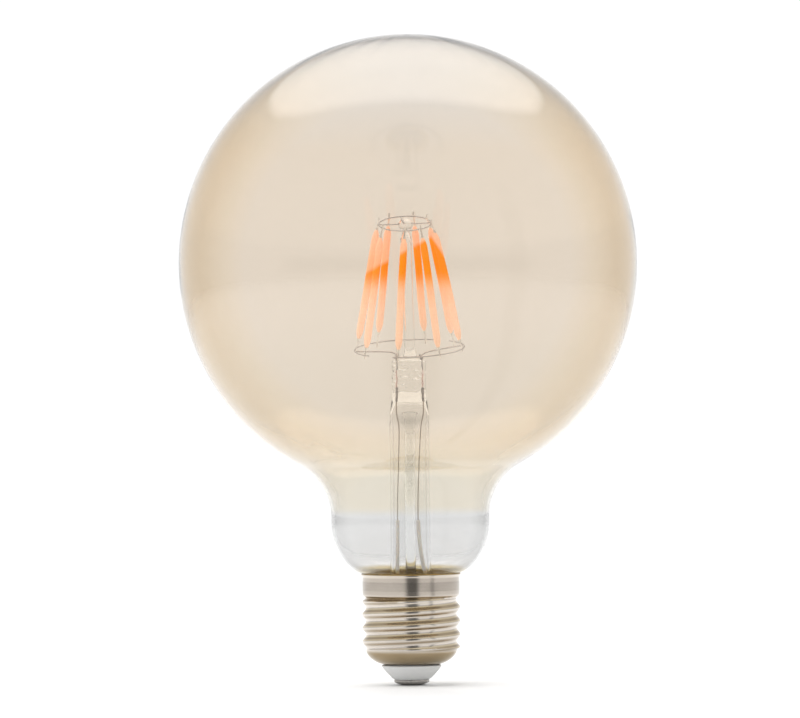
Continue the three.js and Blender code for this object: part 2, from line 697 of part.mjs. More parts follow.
function makeDriver() {
  const height = BOARD_TOP_Z - BOARD_BOTTOM_Z;
  const board = new THREE.BoxGeometry(BOARD_WIDTH, BOARD_THICKNESS, height);
  add("driver_board", board.translate(0, 0, BOARD_BOTTOM_Z + height / 2), material.board);
  add("driver_ic", onBoardFront(DRIVER_IC), material.chip);
  add("bridge_rectifier", onBoardFront(BRIDGE_RECTIFIER), material.chip);
  const radioBoard = toSolid(onBoardFront(RADIO_BOARD));
  const radio = radioBoard.add(toSolid(onBoardFront(RADIO_CAN, RADIO_BOARD.thickness)));
  add("radio_module", fromSolid(radio), material.shieldCan);

  for (const [name, part, skin] of [
    ["smoothing_capacitor", SMOOTHING_CAPACITOR, material.canSleeve],
    ["filter_inductor", FILTER_INDUCTOR, material.ferrite],
  ]) {
    add(name, drum(part).translate(part.x, boardBack + part.radius, part.z), skin);
  }

  const resistor = drum(FUSIBLE_RESISTOR).rotateY(PI / 2);
  resistor.translate(-FUSIBLE_RESISTOR.length / 2, resistorY, FUSIBLE_RESISTOR.z);
  add("fusible_resistor", resistor, material.resistorBody);
}

function makeCapWires() {
  const resistorEnd = FUSIBLE_RESISTOR.length / 2 + GAP;
  const contactRoute = [
    vec(0, 0, RIVET_TOP_Z + 0.7),
    vec(1.8, -0.9, RIVET_TOP_Z + 0.6),
    vec(resistorEnd + 1.1, resistorY + 0.2, RIVET_TOP_Z + 1),
    vec(resistorEnd + 1.3, resistorY, FUSIBLE_RESISTOR.z - 0.2),
    vec(resistorEnd, resistorY, FUSIBLE_RESISTOR.z),
  ];
  add("contact_wire", wire(contactRoute, CONTACT_WIRE, 14), material.wireInsulation);

  const wallX = THREAD_MINOR_RADIUS - CAP_SHEET - GAP - SHELL_WIRE / 2;
  const shellRoute = [
    vec(BOARD_WIDTH / 2 + GAP, 0, 17.5),
    vec(wallX - 1, 0, 18),
    vec(wallX, 0, 19.4),
    vec(wallX, 0, 20.8),
  ];
  add("shell_wire", wire(shellRoute, SHELL_WIRE, 10), material.copper);
}

makeEnvelope();
makeStemTube();
makeExhaustTube();
makeRings();
makePost();
FILAMENTS.forEach((filament, k) => makeFilament(k + 1, filament));
makeArms();
makeLeads("left", LEFT_WIRE_X, LEFT_LEAD_ROUTE);
makeLeads("right", RIGHT_WIRE_X, RIGHT_LEAD_ROUTE);
makeCement();
makeCapShell();
makeInsulator();
makeContact();
makeDriver();
makeCapWires();

export default lamp;
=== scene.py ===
"""A globe LED filament lamp on an E27 screw cap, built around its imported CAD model.

Lengths are in millimetres until a mesh is made, and the frame is the CAD model's: +Z up the lamp's
axis, the origin in the middle of the centre contact's flat face, -Y the front.
"""

import math

import bpy
import numpy as np
from mathutils import Matrix, Vector, noise


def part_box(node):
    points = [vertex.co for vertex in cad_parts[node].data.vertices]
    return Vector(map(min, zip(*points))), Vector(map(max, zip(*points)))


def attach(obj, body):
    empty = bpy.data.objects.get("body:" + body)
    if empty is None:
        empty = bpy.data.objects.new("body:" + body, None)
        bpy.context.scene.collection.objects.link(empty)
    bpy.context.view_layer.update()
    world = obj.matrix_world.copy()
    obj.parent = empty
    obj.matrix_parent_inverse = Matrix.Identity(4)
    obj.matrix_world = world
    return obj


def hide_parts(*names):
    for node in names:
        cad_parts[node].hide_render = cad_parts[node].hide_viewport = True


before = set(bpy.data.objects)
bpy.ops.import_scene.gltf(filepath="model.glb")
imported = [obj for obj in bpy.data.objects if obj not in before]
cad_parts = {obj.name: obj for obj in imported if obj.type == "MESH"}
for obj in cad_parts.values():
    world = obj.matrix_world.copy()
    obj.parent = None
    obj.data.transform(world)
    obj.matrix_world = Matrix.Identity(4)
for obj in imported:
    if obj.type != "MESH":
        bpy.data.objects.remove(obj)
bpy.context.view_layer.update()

MM = 0.001
TURN = 2 * math.pi


# ---------------------------------------------------------------- reading the CAD frame


def box(node):
    """A CAD node's lowest and highest corner, in millimetres."""
    low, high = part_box(node)
    return np.array(low) / MM, np.array(high) / MM


def node_mesh(node):
    """A CAD node's distinct points in millimetres, and its faces as rows of their indices."""
    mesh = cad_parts[node].data
    raw = np.array([v.co for v in mesh.vertices]) / MM
    points, index = np.unique(np.round(raw, 3), axis=0, return_inverse=True)
    index = index.reshape(-1)
    faces = [[int(index[v]) for v in polygon.vertices] for polygon in mesh.polygons]
    return points, [face for face in faces if len(set(face)) == len(face)]


def axes_of(node):
    """A long node's centre, its three directions with the longest first, and its size along each."""
    points, _ = node_mesh(node)
    centre = (points.min(0) + points.max(0)) / 2
    directions = np.linalg.svd(points - points.mean(0))[2]
    if directions[0][2] < 0:
        directions[0] = -directions[0]
    along = [(points - centre) @ d for d in directions]
    centre = centre + sum(d * (a.max() + a.min()) / 2 for d, a in zip(directions, along))
    return centre, directions, [a.max() - a.min() for a in along]


def end_face(points, faces, corner):
    """The points of the smallest flat face that holds the given corner."""
    normals = []
    for face in faces:
        a, b, c = (points[i] for i in face[:3])
        normal = np.cross(b - a, c - a)
        normals.append(normal / max(np.linalg.norm(normal), 1e-12))
    best, best_reach = None, None
    for start in (k for k, face in enumerate(faces) if corner in face):
        member = {start}
        found = set(faces[start])
        grown = True
        while grown:
            grown = False
            for k, face in enumerate(faces):
                if k in member or len(found & set(face)) < 2:
                    continue
                if abs(np.dot(normals[k], normals[start])) > 0.9999:
                    member.add(k)
                    found |= set(face)
                    grown = True
        reach = max(np.linalg.norm(points[i] - points[corner]) for i in found)
        if best is None or reach < best_reach:
            best, best_reach = found, reach
    return best


def centreline(node):
    """The middle of each cross-section of a swept CAD wire, from one end to the other."""
    points, faces = node_mesh(node)
    near = {i: set() for i in range(len(points))}
    for face in faces:
        for a, b in zip(face, face[1:] + face[:1]):
            near[a].add(b)
            near[b].add(a)
    corner = int(np.argmax(np.linalg.norm(points - points.mean(0), axis=1)))
    layer = end_face(points, faces, corner)
    seen = set(layer)
    line = []
    while layer:
        line.append(points[sorted(layer)].mean(0))
        layer = {n for i in layer for n in near[i]} - seen
        seen |= layer
    return np.array(line)


# ---------------------------------------------------------------- making meshes


def smooth_path(points, step):
    """A Catmull-Rom curve through the points, with a point about every step millimetres."""
    p = np.asarray(points, float)
    padded = np.vstack([2 * p[0] - p[1], p, 2 * p[-1] - p[-2]])
    out = []
    for k in range(1, len(padded) - 2):
        a, b, c, d = padded[k - 1 : k + 3]
        count = max(1, int(round(np.linalg.norm(c - b) / step)))
        for t in np.arange(count) / count:
            square, cube = (2 * a - 5 * b + 4 * c - d) * t**2, (3 * b - a - 3 * c + d) * t**3
            out.append(0.5 * (2 * b + (c - a) * t + square + cube))
    out.append(p[-1])
    return np.array(out)


def make(name, shape, material, replaced=(), sharp=40):
    """One visible piece from points in millimetres and faces, riding on the lamp's only body."""
    points, faces = shape
    mesh = bpy.data.meshes.new(name)
    mesh.from_pydata([tuple(p * MM) for p in np.asarray(points, float)], [], faces)
    mesh.validate()
    mesh.shade_smooth()
    mesh.set_sharp_from_angle(angle=math.radians(sharp))
    mesh.materials.append(material)
    piece = bpy.data.objects.new(name, mesh)
    bpy.context.scene.collection.objects.link(piece)
    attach(piece, "root")
    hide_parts(*replaced)
    return piece


def make_glass(name, shape, material, node, sharp):
    """A piece of clear or tinted glass, which casts no shadow."""
    make(name, shape, material, [node], sharp).visible_shadow = False


def skin(rings, closed=False):
    """Points and faces of a skin over a stack of rings. An open stack ends in a fan at each end."""
    count = len(rings[0])
    points = np.vstack(rings)
    faces = []
    bands = len(rings) if closed else len(rings) - 1
    for row in range(bands):
        here = row * count
        there = (row + 1) % len(rings) * count
        for k in range(count):
            turn = (k + 1) % count
            faces.append((here + k, here + turn, there + turn, there + k))
    if not closed:
        first = len(points)
        points = np.vstack([points, rings[0].mean(0), rings[-1].mean(0)])
        last = (len(rings) - 1) * count
        for k in range(count):
            turn = (k + 1) % count
            faces.append((first, turn, k))
            faces.append((first + 1, last + k, last + turn))
    return outward(points, faces)


def outward(points, faces):
    """The same closed skin with its faces turned outwards."""
    volume = 0.0
    for face in faces:
        a = points[face[0]]
        for b, c in zip(face[1:-1], face[2:]):
            volume += np.dot(a, np.cross(points[b], points[c]))
    if volume < 0:
        faces = [tuple(reversed(face)) for face in faces]
    return points, faces


def joined(parts):
    """Several closed skins as one piece's points and faces."""
    points, faces, offset = [], [], 0
    for some_points, some_faces in parts:
        points.append(some_points)
        faces += [tuple(i + offset for i in face) for face in some_faces]
        offset += len(some_points)
    return np.vstack(points), faces


def circle(radius, z, segments):
    """A level ring. The radius is a number or a function of the angle."""
    angles = np.arange(segments) * TURN / segments
    radii = np.array([radius(a) for a in angles]) if callable(radius) else radius
    level = np.full(segments, float(z))
    return np.column_stack([radii * np.cos(angles), radii * np.sin(angles), level])


def lathe(outline, segments):
    """A turned skin. An outline that starts and ends on the axis is open, any other one is a loop."""
    closed = outline[0][0] > 1e-6
    kept = [p for p in outline if p[0] > 1e-6]
    points, faces = skin([circle(r, z, segments) for r, z in kept], closed)
    if not closed:
        points[-2][2] = outline[0][1]
        points[-1][2] = outline[-1][1]
    return points, faces


def sweep(path, radius, sides=12, blunt=0.6):
    """A round bar along a path, with softened ends. The radius is a number or a function of the
    share of the length and the angle."""
    path = np.asarray(path, float)
    tangents = np.gradient(path, axis=0)
    tangents /= np.linalg.norm(tangents, axis=1)[:, None]
    side = np.cross(tangents[0], [0, 0, 1.0])
    if np.linalg.norm(side) < 0.2:
        side = np.cross(tangents[0], [1.0, 0, 0])
    side /= np.linalg.norm(side)
    lengths = np.concatenate([[0], np.cumsum(np.linalg.norm(np.diff(path, axis=0), axis=1))])
    shares = lengths / lengths[-1]
    angles = np.arange(sides) * TURN / sides
    rings = []
    for k, (point, tangent) in enumerate(zip(path, tangents)):
        side = side - tangent * np.dot(side, tangent)
        side /= np.linalg.norm(side)
        other = np.cross(tangent, side)
        radii = np.full(sides, radius)
        if callable(radius):
            radii = np.array([radius(shares[k], a) for a in angles])
        across, upright = np.outer(radii * np.cos(angles), side), np.outer(radii * np.sin(angles), other)
        ring = point + (across + upright)
        if k in (0, len(path) - 1):
            away = -tangent if k == 0 else tangent
            mean = radii.mean() * blunt
            caps = [
                point + (ring - point) * shrink + away * mean * rise
                for shrink, rise in ((0.97, 0.25), (0.8, 0.6), (0.45, 0.9))
            ]
            rings += caps[::-1] + [ring] if k == 0 else [ring] + caps
        else:
            rings.append(ring)
    return skin(rings)


def straight(start, end, count=2):
    return np.linspace(np.asarray(start, float), np.asarray(end, float), count)


def strip(path, width_dir, width, thickness):
    """A flat metal strip with softened edges along a path."""
    path = np.asarray(path, float)
    tangents = np.gradient(path, axis=0)
    tangents /= np.linalg.norm(tangents, axis=1)[:, None]
    edge = thickness * 0.3
    w, t = width / 2, thickness / 2
    section = [
        (w - edge, t), (w, t - edge), (w, edge - t), (w - edge, -t),
        (edge - w, -t), (-w, edge - t), (-w, t - edge), (edge - w, t),
    ]
    rings = []
    for k, (point, tangent) in enumerate(zip(path, tangents)):
        across = width_dir - tangent * np.dot(width_dir, tangent)
        across /= np.linalg.norm(across)
        normal = np.cross(tangent, across)
        share = 0.82 if k in (0, len(path) - 1) else 1
        rings.append(np.array([point + across * a * share + normal * b * share for a, b in section]))
    return skin(rings)


def lump(centre, along, radii, seed, sides=14, rows=9, rough=0.12):
    """A small uneven bead, such as a weld or a drop of solder."""
    along = np.asarray(along, float) / np.linalg.norm(along)
    side = np.cross(along, [0.31, 0.95, 0.02])
    side /= np.linalg.norm(side)
    other = np.cross(along, side)
    rings = []
    for row in range(1, rows):
        polar = math.pi * row / rows
        ring = []
        for a in np.arange(sides) * TURN / sides:
            d = along * -math.cos(polar) * radii[0] + (
                side * math.cos(a) * radii[1] + other * math.sin(a) * radii[2]
            ) * math.sin(polar)
            spread = 1 + rough * noise.noise(Vector(d * 2.3 + seed))
            ring.append(centre + d * spread)
        rings.append(np.array(ring))
    return skin(rings)


def ramp(x, low, high):
    t = min(max((x - low) / (high - low), 0.0), 1.0)
    return t * t * (3 - 2 * t)


# ---------------------------------------------------------------- materials


class Graph:
    """A node tree with short ways to add the nodes that it is made of."""

    def __init__(self, tree, coordinates):
        self.tree = tree
        self.coordinates = self.add("ShaderNodeTexCoord").outputs[coordinates]

    def add(self, kind, **properties):
        node = self.tree.nodes.new(kind)
        for key, value in properties.items():
            setattr(node, key, value)
        return node

    def link(self, source, target):
        self.tree.links.new(source, target)

    def place(self, source, socket):
        if isinstance(source, (int, float)):
            socket.default_value = source
        else:
            self.link(source, socket)

    def stretched(self, x, y, z):
        node = self.add("ShaderNodeMapping")
        self.link(self.coordinates, node.inputs["Vector"])
        node.inputs["Scale"].default_value = (x, y, z)
        return node.outputs["Vector"]

    def noise(self, scale, detail=4.0, roughness=0.55, vector=None):
        node = self.add("ShaderNodeTexNoise")
        self.link(vector or self.coordinates, node.inputs["Vector"])
        node.inputs["Scale"].default_value = scale
        node.inputs["Detail"].default_value = detail
        node.inputs["Roughness"].default_value = roughness
        return node.outputs["Fac"]

    def axis(self, letter):
        node = self.add("ShaderNodeSeparateXYZ")
        self.link(self.coordinates, node.inputs[0])
        return node.outputs[letter]

    def facing_up(self):
        node = self.add("ShaderNodeSeparateXYZ")
        self.link(self.add("ShaderNodeNewGeometry").outputs["Normal"], node.inputs[0])
        return node.outputs["Z"]

    def sums(self, operation, a, b=0.0, c=0.0):
        node = self.add("ShaderNodeMath", operation=operation)
        for source, socket in zip((a, b, c), node.inputs):
            self.place(source, socket)
        return node.outputs[0]

    def fitted(self, value, low, high, to_low=0.0, to_high=1.0, smooth=False):
        node = self.add("ShaderNodeMapRange")
        if smooth:
            node.interpolation_type = "SMOOTHSTEP"
        self.link(value, node.inputs["Value"])
        ends = {"From Min": low, "From Max": high, "To Min": to_low, "To Max": to_high}
        for key, number in ends.items():
            node.inputs[key].default_value = number
        return node.outputs["Result"]

    def colors(self, value, stops):
        node = self.add("ShaderNodeValToRGB")
        self.link(value, node.inputs["Fac"])
        elements = node.color_ramp.elements
        while len(elements) < len(stops):
            elements.new(0.5)
        for element, (position, color) in zip(elements, stops):
            element.position = position
            element.color = (*color, 1)
        return node.outputs["Color"]

    def blend(self, factor, a, b, mode="MIX"):
        node = self.add("ShaderNodeMix", data_type="RGBA", blend_type=mode)
        self.place(factor, node.inputs[0])
        for source, socket in ((a, node.inputs[6]), (b, node.inputs[7])):
            if isinstance(source, tuple):
                socket.default_value = (*source, 1)
            else:
                self.link(source, socket)
        return node.outputs[2]


class Nodes(Graph):
    """A Principled material in object coordinates."""

    def __init__(self, name, color, **settings):
        self.material = bpy.data.materials.new(name)
        self.material.use_nodes = True
        super().__init__(self.material.node_tree, "Object")
        self.shader = self.tree.nodes["Principled BSDF"]
        self.shader.inputs["Base Color"].default_value = (*color, 1)
        for key, value in settings.items():
            self.shader.inputs[key.replace("_", " ")].default_value = value

    def base(self, source):
        self.link(source, self.shader.inputs["Base Color"])

    def rough(self, cloud, low, high):
        """Roughness from low to high over the middle of a noise."""
        self.link(self.fitted(cloud, 0.3, 0.7, low, high), self.shader.inputs["Roughness"])

    def mottled(self, cloud, dark, light):
        """A colour between two tones, over the middle of a noise."""
        return self.colors(cloud, [(0.3, dark), (0.7, light)])

    def bump(self, height, distance, strength=1.0):
        node = self.add("ShaderNodeBump")
        self.link(height, node.inputs["Height"])
        node.inputs["Distance"].default_value = distance
        node.inputs["Strength"].default_value = strength
        previous = self.shader.inputs["Normal"]
        if previous.is_linked:
            self.link(previous.links[0].from_socket, node.inputs["Normal"])
        self.link(node.outputs["Normal"], previous)


AMBER = (0.872, 0.812, 0.738)
TINT_END = (0.862, 0.832, 0.765)
CLEAR = (0.845, 0.845, 0.843)
# The crown's paler tint is a painted highlight that whitens the reflection over the top of the globe.
CROWN_HIGHLIGHT_TINT = (0.860, 0.835, 0.808)
AMBER_LOW = (0.853, 0.797, 0.722)
# A darker clear just above the cap: painted shade.
CLEAR_SHADED = (0.800, 0.797, 0.792)
# The olive at the foot of the glass is a painted image of the cement seen through the glass.
CEMENT_IMAGE_TINT = (0.560, 0.430, 0.160)
CLOUD_TINT = (0.985, 0.975, 0.955)
WHITE = (1.0, 1.0, 1.0)
GLASS_IOR = 1.47
STEM_IOR = 1.28
EXHAUST_IOR = 1.12

# Heights in metres. The noise's mean of a half lifts the heights that the glass tint reads by half
# of the waver, so its stops stand that much above the places they are meant for.
HEIGHT_WAVER = 0.0016
TINT_RANGE = (0.028, 0.180)


def amber_glass_material():
    """Clear glass with an amber tint that ends in the neck, made paler on the crown as a painted highlight,
    and deeper where the wall is seen at a slant. Towards the silhouette all of it is also darkened, a
    painted edge shade. Just above the cap the clear glass is darker, a painted shade, and olive lowest down,
    a painted image of the cement seen through the glass."""
    m = Nodes("amber_glass", AMBER, Roughness=0.0, IOR=GLASS_IOR, Transmission_Weight=1.0)
    height = m.sums("ADD", m.axis("Z"), m.sums("MULTIPLY", m.noise(45, 2), HEIGHT_WAVER))
    low, high = TINT_RANGE
    stops = [
        (0.0313, CEMENT_IMAGE_TINT), (0.0320, CLEAR_SHADED), (0.0370, CLEAR), (0.0465, CLEAR),
        (0.0479, TINT_END), (0.0570, TINT_END), (0.0665, AMBER_LOW), (0.0850, AMBER_LOW),
        (0.1000, AMBER), (0.1440, AMBER), (0.1660, CROWN_HIGHLIGHT_TINT),
    ]
    shares = [((z - low) / (high - low), color) for z, color in stops]
    tint = m.colors(m.fitted(height, low, high), shares)
    cloud = m.fitted(m.noise(28, 3), 0.3, 0.7, 0.0, 0.22)
    tint = m.blend(cloud, tint, m.blend(1.0, tint, CLOUD_TINT, "MULTIPLY"))
    # At a slant the amber deepens for the longer path through the tint, and both ramps also darken the glass
    # towards its silhouette: a painted edge shade.
    edge = m.add("ShaderNodeLayerWeight")
    edge.inputs["Blend"].default_value = 0.5
    amber_slant_and_edge_shade = m.colors(edge.outputs["Facing"], [
        (0.30, WHITE), (0.38, (0.995, 0.970, 0.920)), (0.48, (0.955, 0.900, 0.800)),
        (0.59, (0.895, 0.810, 0.665)), (0.72, (0.840, 0.740, 0.570)), (0.90, (0.730, 0.620, 0.490)),
    ])
    clear_edge_shade = m.colors(edge.outputs["Facing"], [
        (0.40, WHITE), (0.62, (0.84, 0.84, 0.84)), (0.78, (0.62, 0.62, 0.62)), (0.90, (0.48, 0.48, 0.49)),
    ])
    above_neck = m.fitted(height, 0.0469, 0.0700, smooth=True)
    below_crown = m.fitted(height, 0.172, 0.150, 0.2, 1.0)
    tinted = m.sums("MULTIPLY", above_neck, below_crown)
    m.base(m.blend(1.0, tint, m.blend(tinted, clear_edge_shade, amber_slant_and_edge_shade), "MULTIPLY"))
    return m.material


def clear_glass_material(name, ior):
    """Clear glass with faint lines along it, as drawn tube has."""
    m = Nodes(name, (0.985, 0.985, 0.985), Roughness=0.0, IOR=ior, Transmission_Weight=1.0)
    drawn = m.noise(60, 2, vector=m.stretched(1, 1, 0.12))
    m.base(m.mottled(drawn, (0.980, 0.982, 0.980), (0.995, 0.995, 0.992)))
    m.bump(drawn, 0.00006, 0.5)
    return m.material


# The band of deep orange across the filaments is a painted orange reflection.
BAND_RISE, BAND_RISE_Z = 0.56, 0.1161
BAND_FALL, BAND_FALL_Z = -1.5, 0.1289
BAND_FOOT = (0.1050, 0.1105)
REFLECTED_ORANGE = (1.0, 0.30, 0.0)


def phosphor_material():
    """Silicone with phosphor: peach, with a slanted band of deep orange that is a painted orange reflection,
    not the phosphor's own colour. The band's top rises from the left and falls off again on the right. It
    glows faintly though the lamp is off, which is painted light."""
    m = Nodes("phosphor", (0.97, 0.65, 0.47), Roughness=0.6, Specular_IOR_Level=0.1)
    # A faint glow, though the lamp is off: painted light that brightens the phosphor.
    m.shader.inputs["Emission Strength"].default_value = 0.39
    z = m.axis("Z")
    x = m.axis("X")
    rising = m.sums("MULTIPLY_ADD", x, BAND_RISE, BAND_RISE_Z)
    falling = m.sums("MULTIPLY_ADD", x, BAND_FALL, BAND_FALL_Z)
    ragged = m.sums("MULTIPLY", m.noise(300, 2), 0.0012)
    top = m.sums("ADD", m.sums("MINIMUM", rising, falling), ragged)
    below_top = m.fitted(m.sums("SUBTRACT", top, z), -0.0004, 0.0012, smooth=True)
    deep = m.sums("MULTIPLY", below_top, m.fitted(z, *BAND_FOOT, smooth=True))
    # The peach deepens towards orange in the upper middle, part of the same painted reflection.
    peach_and_reflection = m.colors(m.fitted(z, 0.088, 0.124), [
        (0.0, (0.97, 0.66, 0.49)), (0.35, (0.97, 0.64, 0.46)),
        (0.58, (1.0, 0.50, 0.26)), (1.0, (0.97, 0.61, 0.45)),
    ])
    color = m.blend(deep, peach_and_reflection, REFLECTED_ORANGE)
    chips = m.add("ShaderNodeTexWave", wave_type="BANDS", bands_direction="Z", wave_profile="SIN")
    m.link(m.coordinates, chips.inputs["Vector"])
    chips.inputs["Scale"].default_value = 300
    chips.inputs["Distortion"].default_value = 0.6
    chips.inputs["Detail"].default_value = 1.0
    color = m.blend(m.sums("MULTIPLY", chips.outputs["Fac"], 0.06), color, (1.0, 0.36, 0.06))
    m.base(color)
    m.link(color, m.shader.inputs["Emission Color"])
    m.rough(m.noise(900, 3), 0.5, 0.7)
    m.bump(m.noise(1600, 3), 0.00003, 0.6)
    return m.material


def two_tones(color, tone):
    """A darker and a lighter tone of a colour."""
    return tuple(c * (1 - tone) for c in color), tuple(min(1.0, c * (1 + tone)) for c in color)


def metal_material(name, color, roughness, scratch=0.00001, tone=0.12):
    """Drawn or plated metal: uneven tone and gloss, with fine lines along it."""
    m = Nodes(name, color, Metallic=1.0, Roughness=roughness)
    m.base(m.mottled(m.noise(500, 4), *two_tones(color, tone)))
    m.rough(m.noise(1500, 3), roughness - 0.04, roughness + 0.04)
    m.bump(m.noise(3000, 2, vector=m.stretched(1, 1, 0.15)), scratch, 0.7)
    return m.material


# Heights in metres between which one look of the cap's plate gives way to the next, going up.
BOWL_END = (0.0085, 0.0098)
THREAD_START = (0.0088, 0.0096)
SKIRT_START = (0.0238, 0.0246)
LIP_START = (0.0287, 0.0291)
# A golden brown for the thread's steepest faces: painted dark reflections.
FLANK_DARK_REFLECTION = (0.330, 0.255, 0.165)
LIP_PLATE = (0.640, 0.580, 0.510)


def cap_material():
    """Nickel plate: gold where the thread faces up, a painted reflection of the amber globe; darkened where
    it faces up or down the most, painted dark reflections; darker on the skirt, a painted shade; the plate's
    own tone on the lip and brown on the bowl."""
    m = Nodes("nickel_cap", (0.66, 0.61, 0.55), Metallic=1.0, Roughness=0.14)
    cloud = m.noise(90, 3)
    plate = m.mottled(cloud, (0.600, 0.545, 0.485), (0.680, 0.625, 0.560))
    # The gold on the thread's upward faces is a painted reflection of the amber globe above.
    gold = m.mottled(cloud, (0.620, 0.515, 0.350), (0.730, 0.630, 0.465))
    brown = m.mottled(cloud, (0.310, 0.238, 0.142), (0.365, 0.287, 0.181))
    # The skirt is painted darker than the rest of the plate: painted shade.
    skirt_shade = m.mottled(cloud, (0.392, 0.347, 0.300), (0.448, 0.401, 0.350))
    up = m.facing_up()
    z = m.axis("Z")
    threaded = m.sums("MULTIPLY", m.fitted(z, *SKIRT_START[::-1]), m.fitted(z, *THREAD_START))
    globe_reflection_mask = m.sums("MULTIPLY", m.fitted(up, 0.10, 0.45, smooth=True), threaded)
    steep = m.fitted(m.sums("ABSOLUTE", up), 0.50, 0.66, smooth=True)
    skirt = m.sums("MULTIPLY", m.fitted(z, *SKIRT_START), m.fitted(z, *LIP_START[::-1]))
    color = m.blend(skirt, m.blend(globe_reflection_mask, plate, gold), skirt_shade)
    color = m.blend(m.fitted(z, *LIP_START), color, LIP_PLATE)
    # Darken the thread's steepest faces: painted dark reflections.
    color = m.blend(m.sums("MULTIPLY", m.sums("MULTIPLY", steep, threaded), 0.8), color, FLANK_DARK_REFLECTION)
    color = m.blend(m.fitted(z, *BOWL_END[::-1], smooth=True), color, brown)
    m.base(color)
    m.rough(m.noise(350, 3), 0.11, 0.18)
    m.bump(m.noise(1500, 2, vector=m.stretched(0.05, 0.05, 1)), 0.000004, 0.5)
    m.bump(m.noise(130, 2), 0.00003, 0.3)
    return m.material


def contact_material():
    m = Nodes("contact_metal", (0.62, 0.60, 0.57), Metallic=1.0, Roughness=0.3)
    cloud = m.noise(300, 4, 0.6)
    m.base(m.mottled(cloud, (0.38, 0.36, 0.335), (0.52, 0.50, 0.475)))
    m.rough(m.noise(1400, 3), 0.24, 0.42)
    turned = m.noise(3000, 2, vector=m.stretched(0.3, 1, 1))
    m.bump(turned, 0.000015, 0.6)
    return m.material


def plastic_material(name, color, roughness, grain=1800, depth=0.00001, tone=0.05, **settings):
    """Moulded plastic or lacquer: a slightly cloudy tone and a fine grain."""
    m = Nodes(name, color, Roughness=roughness, **settings)
    m.base(m.mottled(m.noise(grain / 6, 4), *two_tones(color, tone)))
    m.rough(m.noise(grain / 3, 3), roughness - 0.06, roughness + 0.08)
    m.bump(m.noise(grain, 3), depth, 0.7)
    return m.material


def cement_material():
    m = Nodes("basing_cement", (0.42, 0.33, 0.12), Roughness=0.8)
    crumbs = m.noise(700, 6, 0.7)
    tones = [(0.25, (0.20, 0.145, 0.035)), (0.5, (0.46, 0.34, 0.10)), (0.8, (0.66, 0.54, 0.24))]
    m.base(m.colors(crumbs, tones))
    m.rough(crumbs, 0.65, 0.92)
    m.bump(m.noise(1300, 5, 0.65), 0.00012, 0.8)
    return m.material


def board_material():
    m = Nodes("circuit_board", (0.03, 0.16, 0.06), Roughness=0.42, Coat_Weight=0.2)
    tracks = m.add("ShaderNodeTexBrick", offset=0.5, squash=1.0)
    turned_flat = m.add("ShaderNodeMapping")
    m.link(m.coordinates, turned_flat.inputs["Vector"])
    turned_flat.inputs["Rotation"].default_value = (math.pi / 2, 0, 0)
    m.link(turned_flat.outputs["Vector"], tracks.inputs["Vector"])
    tracks.inputs["Scale"].default_value = 420
    tracks.inputs["Mortar Size"].default_value = 0.03
    tracks.inputs["Color1"].default_value = (0.025, 0.15, 0.05, 1)
    tracks.inputs["Color2"].default_value = (0.035, 0.20, 0.075, 1)
    tracks.inputs["Mortar"].default_value = (0.07, 0.30, 0.12, 1)
    cloud = m.fitted(m.noise(400, 4), 0.3, 0.7, 0.0, 0.3)
    m.base(m.blend(cloud, tracks.outputs["Color"], (0.05, 0.22, 0.09)))
    m.rough(m.noise(900, 3), 0.36, 0.5)
    m.bump(tracks.outputs["Fac"], 0.00002, 0.6)
    return m.material


def resistor_material():
    """Blue-grey lacquer with colour rings round the body."""
    lacquer = (0.30, 0.48, 0.52)
    m = Nodes("resistor_lacquer", lacquer, Roughness=0.4)
    rings = m.colors(m.fitted(m.axis("X"), -0.003, 0.003), [
        (0.0, lacquer), (0.22, (0.40, 0.10, 0.04)), (0.30, lacquer), (0.42, (0.02, 0.02, 0.02)),
        (0.50, lacquer), (0.62, (0.42, 0.12, 0.03)), (0.70, lacquer),
    ])
    m.base(m.blend(m.fitted(m.noise(900, 3), 0.3, 0.7, 0.0, 0.2), rings, (0.25, 0.36, 0.38)))
    m.bump(m.noise(1500, 3), 0.00002, 0.5)
    return m.material


amber_glass = amber_glass_material()
tube_glass = clear_glass_material("tube_glass", EXHAUST_IOR)
stem_tube_glass = clear_glass_material("stem_tube_glass", STEM_IOR)
phosphor = phosphor_material()
steel_wire = metal_material("steel_wire", (0.66, 0.63, 0.62), 0.34)
weld_metal = metal_material("weld_metal", (0.52, 0.49, 0.48), 0.42, scratch=0.00003, tone=0.25)
nickel_strip = metal_material("nickel_strip", (0.90, 0.86, 0.82), 0.34)
copper_wire = metal_material("copper_wire", (0.90, 0.68, 0.64), 0.36)
lead_wire = metal_material("lead_wire", (0.55, 0.48, 0.42), 0.36)
sleeving = plastic_material(
    "woven_sleeving", (0.93, 0.86, 0.76), 0.75, grain=2600, depth=0.00002, Subsurface_Weight=0.3
)
cement = cement_material()
nickel_cap = cap_material()
contact_metal = contact_material()
insulator_plastic = plastic_material(
    "insulator_plastic", (0.72, 0.725, 0.72), 0.42, grain=1500, depth=0.000015, tone=0.03
)
board_green = board_material()
black_moulding = plastic_material("black_moulding", (0.022, 0.022, 0.024), 0.45, tone=0.25)
tinned_steel = metal_material("tinned_steel", (0.62, 0.63, 0.64), 0.3)
ferrite = plastic_material("ferrite", (0.045, 0.045, 0.048), 0.6, tone=0.3, depth=0.00003)
winding = metal_material("winding_copper", (0.62, 0.27, 0.12), 0.3)
capacitor_sleeve = plastic_material("capacitor_sleeve", (0.03, 0.05, 0.10), 0.25, tone=0.2, Coat_Weight=0.3)
resistor_lacquer = resistor_material()
red_insulation = plastic_material("wire_insulation", (0.42, 0.035, 0.022), 0.35, tone=0.12)


# ---------------------------------------------------------------- glass envelope

